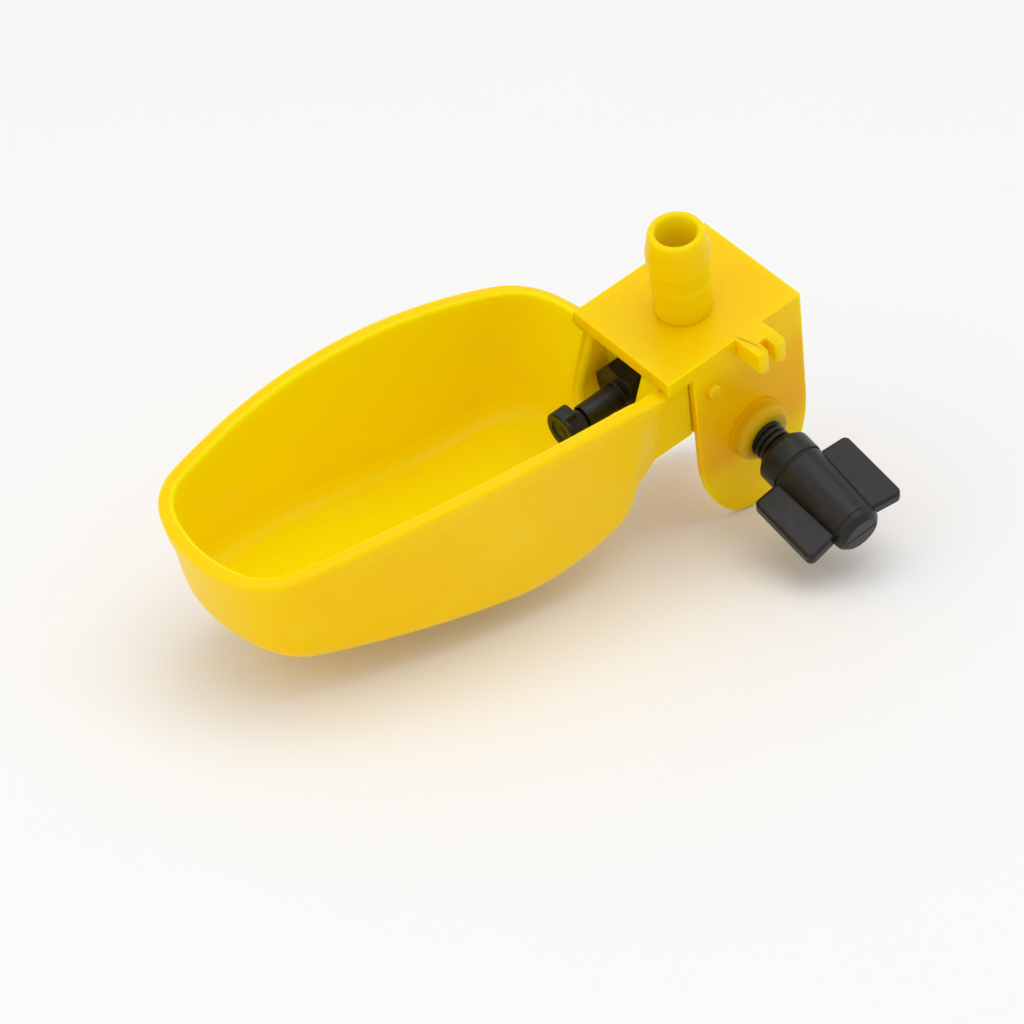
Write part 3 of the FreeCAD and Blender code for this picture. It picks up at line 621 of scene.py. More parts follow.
@dataclass
class Cup:
    """The moulded bowl with its beaded rim, and the neck with the pocket for the nipple."""

    shift: float = -4.8
    tip: float = 89.9
    half: float = 20.2
    wide_at: float = 42.8
    nose_rad: float = 24.8
    corner_rad: float = 10.3
    side_rad: float = 148.0
    back_rad: float = 13.2
    wall: float = 2.0
    back: float = 9.2
    lean: float = 0.38
    draft: float = 1.6
    tip_draft: float = 1.6
    high: float = 17.325
    low: float = -25.0
    rim_tall: float = 11.55
    rim_flat_to: float = 73.3
    rim_arc: float = 157.0
    floor_low: float = 23.0
    floor_low_at: float = 33.2
    floor_arc: float = 45.0
    floor_front: float = 5.6
    front_end: float = 91.9
    edge: float = 4.7
    inner_edge: float = 3.0
    bead_out: float = 0.39
    bead_tall: float = 3.2
    lip: float = 0.75
    cheek_turn: float = 22.0
    cheek_low: float = -17.2
    cheek_from: float = -22.0
    cheek_fall: float = 0.032
    plate_under: float = -2.86
    neck_back: float = -7.9
    neck_half: float = 9.8
    neck_low: float = -15.7
    neck_top: float = -2.8
    nipple: tuple[float, float] = (-2.0, -11.7)
    room: float = 5.61
    seat: float = -9.9

    def outline(self, inset: np.ndarray, back_inset: np.ndarray, level: np.ndarray) -> np.ndarray:
        """The bowl's outline from above, at given insets and levels.

        It is seven tangent arcs, nose, corners, sides and back corners, and a straight back. The draft moves
        it inwards by draft * f, with f = (high - level) / (high - low), and the back leans by lean * level.
        On the screw's side, above the neck's underside, the back corner turns by cheek_turn only and then
        runs straight on to the back, as a cheek; the two outlines are mixed by a smooth step of the level.

        Args:
            inset: M distances inwards, one for each ring.
            back_inset: M distances of the back forwards.
            level: the rings' heights, M x N or M x 1.

        Returns:
            M x N x 2 points, counter-clockwise from the middle of the nose.
        """
        steps = (22, 26, 40, 22, 10)
        level = level[:, :sum(steps)]
        f = (self.high - level) / (self.high - self.low)
        inset = inset[:, None] + self.draft * f
        back = -(self.back + back_inset[:, None]) + self.lean * level
        nose_y = self.nose_rad - self.tip + self.tip_draft * f
        nose_r, corner_r = self.nose_rad - inset, self.corner_rad - inset
        side_r, back_r = self.side_rad - inset, self.back_rad - inset
        side_x, side_y = self.half - self.side_rad, -self.wide_at
        span_x, span_y = side_x, side_y - nose_y
        length = np.hypot(span_x, span_y)
        a, b = nose_r - corner_r, side_r - corner_r
        reach = (a ** 2 - b ** 2 + length ** 2) / (2 * length)
        off = np.sqrt(np.maximum(a ** 2 - reach ** 2, 0))
        ux, uy = span_x / length, span_y / length
        corner_x, corner_y = ux * reach - uy * off, nose_y + uy * reach + ux * off
        heel_y = back - back_r
        heel_x = side_x + np.sqrt((side_r - back_r) ** 2 - (heel_y - side_y) ** 2)
        turn = np.arctan2(corner_y - nose_y, corner_x)
        slope = np.arctan2(corner_y - side_y, corner_x - side_x)
        last = np.arctan2(heel_y - side_y, heel_x - side_x)
        share = np.linspace(0, 1, sum(steps))
        bounds = np.cumsum((0,) + steps) / sum(steps)
        parts = []
        arcs = [
            (0 * nose_y, nose_y, nose_r, -np.pi / 2 + 0 * turn, turn),
            (corner_x, corner_y, corner_r, turn, slope),
            (side_x + 0 * nose_y, side_y + 0 * nose_y, side_r, slope, last),
            (heel_x, heel_y, back_r, last, np.pi / 2 + 0 * turn),
        ]
        for k, (x, y, radius, start, end) in enumerate(arcs):
            t = np.clip((share[None, :] - bounds[k]) / (bounds[k + 1] - bounds[k]), 0, 1)
            angle = start + (end - start) * t
            inside = (share >= bounds[k]) & (share < bounds[k + 1])
            parts.append(np.where(inside[None, :, None],
                                  np.stack([x + radius * np.cos(angle), y + radius * np.sin(angle)], -1), 0))
        t = np.clip((share[None, :] - bounds[4]) / (bounds[5] - bounds[4]), 0, 1)
        straight = np.stack([heel_x * (1 - t), back + 0 * t], -1)
        parts.append(np.where((share >= bounds[4])[None, :, None], straight, 0))
        half = sum(parts)
        other = half[:, ::-1] * (-1, 1)
        near = half + self.step((level - self.cheek_low) / 1.5)[..., None] * (self.cheek(
            share, bounds, (heel_x, heel_y, back_r, last), back, half) - half)
        return np.concatenate([near, other], axis=1) + (self.shift, 0)

    @staticmethod
    def step(value: np.ndarray) -> np.ndarray:
        """A smooth step from 0 to 1 between 0 and 1."""
        value = np.clip(value, 0, 1)
        return value * value * (3 - 2 * value)

    def cheek(self, share: np.ndarray, bounds: np.ndarray, heel: tuple[np.ndarray, ...], back: np.ndarray,
              half: np.ndarray) -> np.ndarray:
        """The half outline with its back corner opened into a straight cheek.

        The corner's arc stops at the angle cheek_turn. The straight from there, p + q * (-sin, cos), ends
        where it meets the back, and the rest runs along the back to the middle.

        Args:
            share: the columns' places, from 0 to 1.
            bounds: where each part of the outline starts and ends.
            heel: the corner arc's centre, radius and first angle.
            back: the back's place.
            half: the half outline that is kept in front of the corner.

        Returns:
            M x N x 2.
        """
        x, y, radius, first = heel
        turn = math.radians(self.cheek_turn)
        split = bounds[3] + 0.35 * (bounds[4] - bounds[3])
        angle = first + (turn - first) * np.clip((share - bounds[3]) / (split - bounds[3]), 0, 1)
        start_x, start_y = x + radius * math.cos(turn), y + radius * math.sin(turn)
        end_x = start_x - (back - start_y) * math.tan(turn)
        t = np.clip((share - split) / (bounds[4] - split), 0, 1)
        run_x, run_y = start_x + (end_x - start_x) * t, start_y + (back - start_y) * t
        u = np.clip((share - bounds[4]) / (bounds[5] - bounds[4]), 0, 1)
        arc = np.stack([x + radius * np.cos(angle), y + radius * np.sin(angle)], -1)
        line = np.stack([run_x, run_y], -1)
        rest = np.stack([end_x * (1 - u), back + 0 * u], -1)
        place = share[None, :, None]
        behind = np.where(place < bounds[4], line, rest)
        return np.where(place < bounds[3], half, np.where(place < split, arc, behind))

    def rim_level(self, flat: np.ndarray) -> np.ndarray:
        """The rim's height: level at the lip, then an arc of a circle that falls towards the back.

        The cheek falls further, by cheek_fall * u^2 at a distance u behind its start, and no lower than the
        plate's underside.

        Args:
            flat: places from above, in the last axis.

        Returns:
            One height for each place.
        """
        x, y = flat[..., 0], flat[..., 1]
        run = np.maximum(y + self.rim_flat_to, 0)
        arc = self.rim_tall - self.rim_arc + np.sqrt(self.rim_arc ** 2 - run ** 2)
        u = np.maximum(y - self.cheek_from, 0)
        fall = self.cheek_fall * u * u * self.step((x - self.shift) / 6)
        return np.where(fall > 0, np.maximum(arc - fall, np.minimum(arc, self.plate_under)), arc)

    def floor_level(self, y: np.ndarray, up: float) -> np.ndarray:
        """The floor's height: level at the back, an arc, then a straight slope to the front.

        Args:
            y: places along the bowl.
            up: how far the whole floor is raised.

        Returns:
            One height for each place.
        """
        rad = self.floor_arc - up
        level = up - self.floor_low
        span_y, span_z = self.floor_low_at - self.front_end, up - self.floor_front - level - rad
        angle = math.atan2(span_z, span_y) + math.acos(rad / math.hypot(span_y, span_z))
        touch_y = -self.floor_low_at + rad * math.cos(angle)
        touch_z = level + rad + rad * math.sin(angle)
        slope = (touch_z - up + self.floor_front) / (touch_y + self.front_end)
        arc = level + rad - np.sqrt(np.maximum(rad ** 2 - (y + self.floor_low_at) ** 2, 0))
        bent = np.where(y >= -self.floor_low_at, level, arc)
        return np.where(y >= touch_y, bent, touch_z + (y - touch_y) * slope)

    def wall_rings(self, inset: float, up: float, edge: float, top_drop: float, rows: int) -> np.ndarray:
        """Rings from the floor's middle line, out to the wall's foot, round the fillet and up the wall.

        On the fillet, a ring at angle a is moved inwards by edge * (1 - cos a) and lies edge * (1 - sin a)
        above the floor. The rings inside the fillet shrink towards the floor's middle line at the floor's
        own height.

        Args:
            inset: the wall's distance inside the bowl's outline.
            up: how far the floor is raised.
            edge: the fillet's radius.
            top_drop: how far below the rim the wall ends.
            rows: rings on the wall.

        Returns:
            An array of rings, M x N x 3.
        """
        a = np.linspace(np.pi / 2, 0, 10)
        insets = inset + edge * (1 - np.cos(a))
        rise = edge * (1 - np.sin(a))
        level = np.zeros((len(a), 1))
        for _ in range(4):
            flat = self.outline(insets, insets, level)
            level = self.floor_level(flat[..., 1], up) + rise[:, None]
        fillet = np.concatenate([flat, level[..., None]], -1)
        share = np.linspace(0, 1, rows + 1)[1:, None]
        foot = fillet[-1:, :, 2]
        fixed = np.full(rows, inset)
        top = self.rim_level(fillet[-1:, :, :2]) - top_drop
        for _ in range(3):
            wall = self.outline(fixed, fixed, foot + (top - foot) * share)
            top = self.rim_level(wall[-1:]) - top_drop
        walls = np.concatenate([wall, (foot + (top - foot) * share)[..., None]], -1)
        first = fillet[0]
        y = np.clip(first[:, 1], first[:, 1].min() + 0.75 * self.half, first[:, 1].max() - 0.55 * self.half)
        middle = np.stack([np.full_like(y, self.shift), y], -1)
        part = np.linspace(0, 1, 12)[:-1, None, None]
        floor = middle[None] + (first[None, :, :2] - middle[None]) * part
        floor = np.concatenate([floor, self.floor_level(floor[..., 1], up)[..., None]], -1)
        return np.concatenate([floor, fillet, walls])

    def rim_rings(self) -> np.ndarray:
        """Rings from the outer wall over the bead and the rounded rim to the inner wall.

        The path is given as distances outwards and heights under the rim, and its corners are rounded.

        Returns:
            An array of rings, M x N x 3.
        """
        out, low, lip = self.bead_out, -self.bead_tall, self.lip
        path = rounded([(0, low - 0.5, 0), (0, low, 0.10), (out, low + 0.12, 0.10), (out, 0, lip),
                        (-self.wall, 0, lip), (-self.wall, low - 0.2, 0)], 9, False)
        level = np.zeros((len(path), 1))
        for _ in range(4):
            flat = self.outline(-path[:, 0], -path[:, 0], level)
            level = self.rim_level(flat) + path[:, 1:]
        return np.concatenate([flat, level[..., None]], -1)

    def shell(self) -> Surface:
        """The whole bowl as one closed surface: outer floor and wall, rim, inner wall and floor."""
        outer = self.wall_rings(0.0, 0.0, self.edge, self.bead_tall + 1.0, 36)
        inner = self.wall_rings(self.wall, self.wall, self.inner_edge, self.bead_tall + 1.0, 34)
        return grid_surface(np.concatenate([outer, self.rim_rings(), inner[::-1]]))

    def neck(self) -> Surface:
        """The block behind the bowl, its front inside the bowl's leaning back wall.

        A ring at a level has a front at the middle of the back wall, and on the screw's side a slant that
        runs along the cheek, x = neck_half + (y_turn - y) * tan(cheek_turn), and ends inside the wall.
        """
        edge, inside_wall = 0.5, 1.2
        a = np.linspace(0, np.pi / 2, 5)
        rise, inset = edge * (1 - np.cos(a)), edge * (1 - np.sin(a))
        levels = np.concatenate([self.neck_low + rise, self.neck_top - rise[::-1]])
        pull = np.concatenate([inset, inset[::-1]])
        slant = math.tan(math.radians(self.cheek_turn))
        rings = []
        for level, inset in zip(levels, pull):
            front = -(self.back + self.wall / 2) + self.lean * level
            half = self.neck_half - inset
            cheek_x = self.neck_half - 0.1 - inset
            turn_y = self.cheek_line(float(level), cheek_x)
            fore = min(front - 4.0, turn_y - 1.0)
            fore_x = cheek_x + (turn_y - fore) * slant
            loop = rounded([(-half, self.neck_back - inset, 0.4), (-half, front, 0.05),
                            (cheek_x - inside_wall, front, 0.05), (fore_x - inside_wall, fore, 0.05),
                            (fore_x, fore, 0.05), (cheek_x, turn_y, 3.0),
                            (half, self.neck_back - inset, 0.4)], 5)
            rings.append(np.concatenate([loop, np.full((len(loop), 1), level)], -1))
        return grid_surface(np.array(rings), caps=True)

    def cheek_line(self, level: float, x: float) -> float:
        """Where the cheek's outer face, set a little into the wall, reaches a given x.

        Args:
            level: the height.
            x: the place across.

        Returns:
            The place along the bowl.
        """
        into_wall = 0.03
        f = (self.high - level) / (self.high - self.low)
        radius = self.back_rad - self.draft * f
        back = -self.back + self.lean * level
        heel_y = back - radius
        side = self.side_rad - self.draft * f
        heel_x = self.half - self.side_rad + math.sqrt((side - radius) ** 2 - (heel_y + self.wide_at) ** 2)
        turn = math.radians(self.cheek_turn)
        start_x = heel_x + (radius - into_wall) * math.cos(turn) + self.shift
        start_y = heel_y + (radius - into_wall) * math.sin(turn)
        return start_y + (start_x - x) / math.tan(turn)

    def sleeve(self) -> Surface:
        """The round wall under the nipple's pocket, from the neck's back into the bowl's back wall."""
        x, z = self.nipple
        t = np.linspace(0, 2 * np.pi, 72, endpoint=False)
        radius = self.room + 1.2
        level_back = np.full_like(t, self.neck_back - 0.02)
        ring = np.stack([x + radius * np.cos(t), level_back, z + radius * np.sin(t)], -1)
        front = ring.copy()
        front[:, 1] = -(self.back + self.wall / 2) + self.lean * front[:, 2]
        share = np.linspace(0, 1, 6)[:, None, None]
        return grid_surface(ring[None] + (front - ring)[None] * share, caps=True)

    def pocket(self) -> Surface:
        """The room for the nipple's hexagon: round below, straight up above, with a rounded mouth.

        At angle a of the mouth's rounding the outline is mouth * (1 - cos a) wider and mouth * sin a nearer
        to the leaning face of the back wall, which lies at y = -(back + wall) + lean * z.
        """
        x, z = self.nipple
        mouth, past_top = 1.1, 12.4
        t = np.linspace(-np.pi, 0, 40)
        loop = np.vstack([np.stack([self.room * np.cos(t), self.room * np.sin(t)], -1),
                          [(self.room, past_top), (-self.room, past_top)]])
        a = np.linspace(0, np.pi / 2, 7)
        wider = np.concatenate([[0.0], mouth * (1 - np.cos(a)), [mouth]])
        rings = inwards(loop, -wider)
        lean = -(self.back + self.wall) + self.lean * (rings[..., 1] + z)
        depth = np.concatenate([[0.0], mouth * (1 - np.sin(a)), [-12.0]])[:, None]
        y = lean + depth
        y[0] = self.seat
        points = np.stack([x + rings[..., 0], y, z + rings[..., 1]], -1)
        return grid_surface(points, caps=True)

    def mark_inside(self, mesh: bpy.types.Mesh) -> None:
        """Stores how far each point faces the bowl's middle, as the attribute "inside".

        It is a smooth step of -n . d, where n is the point's normal and d the direction to it from the bowl's
        middle.

        Args:
            mesh: the cup's mesh.
        """
        middle = np.array([self.shift, -0.55 * self.tip, 4.0], np.float32) * MM
        away = vertex_array(mesh, "co") - middle
        away = away / np.linalg.norm(away, axis=1, keepdims=True)
        facing = -(away * vertex_array(mesh, "normal")).sum(1)
        # this mask places the painted light on the bowl's inner faces
        mark(mesh, self.step(0.5 + facing * 2.0))

    def build(self, plastic: bpy.types.Material) -> None:
        """Builds and dresses the cup.

        Args:
            plastic: its material.
        """
        piece = new_object("cup_shell", self.shell())
        combine(piece, self.neck(), Cut.JOIN)
        combine(piece, self.sleeve(), Cut.JOIN)
        combine(piece, self.pocket(), Cut.AWAY)
        x, z = self.nipple
        hole = lathe(np.array([(-20, 0), (-20, 3.55), (-5, 3.55), (-5, 0)]), along_y(x, z), 64)
        combine(piece, hole, Cut.AWAY)
        over_plate = np.array([(-11.5, -13.2), (11.5, -13.2), (11.5, 14.8), (-11.5, 14.8)])
        combine(piece, prism(over_plate, self.neck_top, 9, 0.02, steps=2), Cut.AWAY)
        self.mark_inside(piece.data)
        dress(piece, plastic, Body.FRAME, Slot.YELLOW, "cup")


# The bracket.

@dataclass
class Bracket:
    """The yellow moulding: plate, hose barb, tab, two jaws, valve housing, screw boss and stud."""

    plate_half: float = 11.0
    plate_front: float = -12.7
    plate_back: float = 14.3
    plate_thk: float = 2.7
    jaw_thk: float = 1.2
    jaw_front: float = -7.8
    jaw_straight: float = 22.0
    jaw_tip: float = 17.5
    boss_tall: float = 3.0
    boss_level: float = -21.5
    nipple: tuple[float, float] = (-2.0, -11.7)
    edge: float = 0.14

    def plate(self) -> Surface:
        """The flat top plate with soft edges."""
        loop = rectangle(-self.plate_half, self.plate_front, self.plate_half, self.plate_back, 0.25)
        return prism(loop, -self.plate_thk, 0, self.edge)

    def barb(self) -> Surface:
        """The hose barb, turned from its profile; its foot flares into the plate."""
        return turned([
            (-1.6, 0, 0), (-1.6, 4.5, 0), (4.4, 4.5, 1.5), (6.1, 4.8, 0.5), (6.5, 4.72, 0.2), (7.0, 4.6, 0.4),
            (8.6, 4.62, 0.5), (10.2, 5.03, 0.6), (12.2, 5.05, 1.2), (14.6, 4.62, 1.5), (16.2, 4.3, 0.5),
            (16.2, 3.25, 0.35), (8.0, 3.25, 0.1), (8.0, 0, 0)], Axes(), 128, 7)

    def tab(self) -> Surface:
        """The tab beside the plate, slotted into two prongs with chamfered ends."""
        near, far, slot, c = 9.8, self.plate_half + 5.6, self.plate_half + 3.0, 0.5
        loop = rounded([
            (near, 0.9, 0.1), (far - c, 0.9, 0.1), (far, 0.9 + c, 0.1), (far, 2.9 - c, 0.1),
            (far - c, 2.9, 0.1), (slot, 2.9, 0.15), (slot, 4.3, 0.15), (far - c, 4.3, 0.1),
            (far, 4.3 + c, 0.1), (far, 6.3 - c, 0.1), (far - c, 6.3, 0.1), (near, 6.3, 0.1)], 4)
        return prism(loop, -3.8, 0, 0.12)

    def jaw(self, side: int) -> Surface:
        """One jaw: straight above and half an ellipse below.

        Args:
            side: 1 for the screw's side, -1 for the other.

        Returns:
            A closed surface.
        """
        middle, half = (self.plate_back + self.jaw_front) / 2, (self.plate_back - self.jaw_front) / 2
        t = np.linspace(-np.pi, 0, 64)
        tip = np.stack([middle + half * np.cos(t), -self.jaw_straight + self.jaw_tip * np.sin(t)], -1)
        top = np.array([(self.plate_back, -14.0), (self.plate_back, -1.5), (self.jaw_front, -1.5),
                        (self.jaw_front, -14.0)])
        loop = np.vstack([tip, top])
        inner = self.plate_half - self.jaw_thk
        surface = prism(loop, inner, self.plate_half, 0.2, along_x())
        surface.points[:, 0] *= side
        return surface

    def house(self) -> list[Surface]:
        """The valve housing between the jaws, and the round sleeve of the valve's bore through it."""
        f, b, low = self.jaw_front + 0.01, 9.6, -15.5
        loop = rounded([(f, low, 0.3), (b, low, 2.0), (b, -1.4, 0.3), (f, -1.4, 0.3)])
        block = prism(loop, -10.4, 10.4, 0.05, along_x(), 2)
        profile = [(f, 0, 0), (f, 5.95, 0.3), (b, 5.95, 0.3), (b, 0, 0)]
        return [block, turned(profile, along_y(*self.nipple), 96, 5)]

    def small_parts(self) -> list[Surface]:
        """The screw boss, the stud and the lump that the moulding gate left."""
        middle = (self.plate_back + self.jaw_front) / 2
        end = self.plate_half + self.boss_tall
        boss = [(10.0, 0, 0), (10.0, 5.3, 0), (self.plate_half + 0.05, 5.15, 0.2), (end, 4.95, 1.3),
                (end, 0, 0)]
        stud = [(10.0, 0, 0), (10.0, 1.15, 0), (11.9, 1.15, 0.3), (11.9, 0, 0)]
        gate = [(-0.5, 0, 0), (-0.5, 0.75, 0), (0.0, 0.7, 0.1), (0.28, 0.45, 0.2), (0.3, 0, 0)]
        return [turned(boss, along_x(middle, self.boss_level), 96, 9),
                turned(stud, along_x(-4.4, -7.3), 48, 6),
                turned(gate, Axes((-1.1, -4.7, 0)), 32, 5)]

    def ways(self, screw: Axes) -> list[Surface]:
        """What is cut away: the barb's bore, the inlet, the valve's bore and seat, and the screw's hole.

        Args:
            screw: the screw's axes.

        Returns:
            The four shapes.
        """
        x, z = self.nipple
        bore = lathe(np.array([(-2.7, 0), (-2.7, 3.25), (15.0, 3.25), (15.0, 0)]), Axes(), 96)
        inlet = lathe(np.array([(z, 0), (z, 2.0), (-2.0, 2.0), (-2.0, 0)]), Axes(), 48)
        f = self.jaw_front
        steps = [(f - 1, 0), (f - 1, 4.75), (f + 1.2, 4.75), (f + 1.2, 3.55), (3.35, 3.55), (3.35, 0)]
        valve = lathe(np.array(steps), along_y(x, z), 72)
        hole = lathe(np.array([(-2.4, 0), (-2.4, 3.05), (4.5, 3.05), (4.5, 0)]), screw, 72)
        return [bore, inlet, valve, hole]

    def mark_bore(self, mesh: bpy.types.Mesh) -> None:
        """Stores 1 on the points of the barb's bore and 0 elsewhere, as the attribute "inside"."""
        points = vertex_array(mesh, "co") / MM
        # this mask places the painted light in the barb's bore
        mark(mesh, (np.hypot(points[:, 0], points[:, 1]) < 3.35) & (points[:, 2] > 0.5))

    def build(self, plastic: bpy.types.Material, screw: Axes) -> None:
        """Builds and dresses the bracket.

        Args:
            plastic: its material.
            screw: the screw's axes.
        """
        piece = new_object("bracket_moulding", self.plate())
        for part in [self.barb(), self.tab(), self.jaw(1), self.jaw(-1), *self.house(), *self.small_parts()]:
            combine(piece, part, Cut.JOIN)
        for way in self.ways(screw):
            combine(piece, way, Cut.AWAY)
        self.mark_bore(piece.data)
        dress(piece, plastic, Body.FRAME, Slot.YELLOW, "bracket")


# The nipple valve.

@dataclass
class Nipple:
    """The black nipple: a hexagon flange, a tube, a tail, and the round head that the bird pushes."""

    place: tuple[float, float] = (-2.0, -11.7)
    front: float = -12.9
    flange_back: float = -9.9
    hex_rad: float = 5.312
    hex_turn: float = 22.0

    def body(self) -> Surface:
        """Tube, flange and tail as one loop of profile turned round the axis.

        The flange's radius at angle t is the hexagon's, hex_rad * cos(30) / cos of the angle to the nearest
        flat, and no more than the bevel's, 4.6 + twice the depth from its front or back face.
        """
        profile = rounded([(-19.9, 2.1, 0.1), (self.front, 2.1, 0.25), (self.front, 9.0, 0),
                           (self.flange_back, 9.0, 0), (self.flange_back, 3.5, 0.1), (-1.7, 3.5, 0.3),
                           (-1.7, 2.8, 0.1), (-9.0, 2.8, 0.1), (-9.0, 1.35, 0.1), (-18.6, 1.35, 0.05),
                           (-18.6, 1.85, 0.05), (-19.9, 1.85, 0.05)], 6)
        y = np.linspace(self.front, self.flange_back, 24)
        wide = np.stack([y, np.full_like(y, 9.0)], -1)
        cut = profile[:, 1] > 8.0
        first, last = np.flatnonzero(cut)[[0, -1]]
        face = np.stack([np.full(10, self.front), np.linspace(2.4, 8.9, 10)], -1)
        back = np.stack([np.full(10, self.flange_back), np.linspace(8.9, 3.7, 10)], -1)
        profile = np.vstack([profile[:first], face, wide, back, profile[last + 1:]])
        t = np.linspace(0, 2 * np.pi, 192, endpoint=False)
        flat = (t + math.radians(self.hex_turn)) % (np.pi / 3) - np.pi / 6
        hexagon = self.hex_rad * math.cos(np.pi / 6) / np.cos(flat)
        depth = np.minimum(profile[:, 0] - self.front, 3.6 + self.flange_back - profile[:, 0])
        in_flange = (profile[:, 0] >= self.front - 1e-9) & (profile[:, 0] <= self.flange_back + 1e-9)
        bevel = np.where(in_flange, 4.6 + 2 * np.maximum(depth, 0), 99.0)
        radius = np.minimum(profile[:, 1][:, None], np.minimum(hexagon[None, :], bevel[:, None]))
        points = np.stack([radius * np.cos(t), radius * np.sin(t),
                           np.broadcast_to(profile[:, 0][:, None], radius.shape)], -1)
        return grid_surface(along_y(*self.place).place(points), loop_rows=True)

    def head(self) -> Surface:
        """The head: a thick disc with a ring and a dimple in its front."""
        return turned([
            (-24.15, 0, 0), (-24.15, 0.8, 0.1), (-24.0, 1.0, 0.1), (-24.0, 2.05, 0.12), (-24.3, 2.2, 0.1),
            (-24.3, 3.2, 0.15), (-24.1, 3.4, 0.15), (-21.3, 3.4, 0.2), (-21.3, 0, 0)],
            along_y(*self.place), 96, 5)

    def notch(self) -> Surface:
        """The corner that is missing from the back of the head, towards the screw's side."""
        x, z = self.place
        loop = rounded([(x + 0.4, -23.5, 0.15), (x + 6.0, -23.5, 0.05), (x + 6.0, -20.0, 0.05),
                        (x + 0.4, -20.0, 0.05)])
        return prism(loop, z - 6.0, z + 6.0, 0.02, steps=2)

    def top_flat(self) -> Surface:
        """What is taken off the head's top to leave it flat behind its front edge."""
        x, z = self.place
        return prism(rectangle(x - 6.0, -23.9, x + 6.0, -20.0, 0.05), z + 2.75, z + 6.0, 0.02, steps=2)

    def collar(self) -> Surface:
        """The short neck behind the head, with one flat, that slides into the tube's mouth."""
        profile = [(-23.6, 0, 0), (-23.6, 1.7, 0.05), (-20.05, 1.7, 0.2), (-20.05, 0, 0)]
        surface = turned(profile, along_y(*self.place), 72, 5)
        side = np.array([math.cos(math.radians(50)), math.sin(math.radians(50))])
        over = np.maximum((surface.points[:, (0, 2)] - self.place) @ side - 1.3, 0)
        surface.points[:, 0] -= over * side[0]
        surface.points[:, 2] -= over * side[1]
        return surface

    def build(self, plastic: bpy.types.Material, rubber: bpy.types.Material,
              steel: bpy.types.Material) -> None:
        """Builds and dresses the nipple and repaints what is held inside it.

        Args:
            plastic: the material of tube, head and stem.
            rubber: the material of the seal and the ring.
            steel: the material of the spring.
        """
        dress(new_object("nipple_tube", self.body()), plastic, Body.FRAME, Slot.BLACK, "nipple_body")
        head = new_object("trigger_disc", self.head())
        combine(head, self.notch(), Cut.AWAY)
        combine(head, self.top_flat(), Cut.AWAY)
        combine(head, self.collar(), Cut.JOIN)
        socket = np.array([(-23.3, 0), (-23.3, 1.1), (-19.0, 1.1), (-19.0, 0)])
        combine(head, lathe(socket, along_y(*self.place), 48), Cut.AWAY)
        dress(head, plastic, Body.TRIGGER, Slot.BLACK, "trigger_head")
        repaint("valve_stem", plastic)
        repaint("valve_seal", rubber)
        repaint("seal_ring", rubber)
        repaint("return_spring", steel)


# The wing screw.

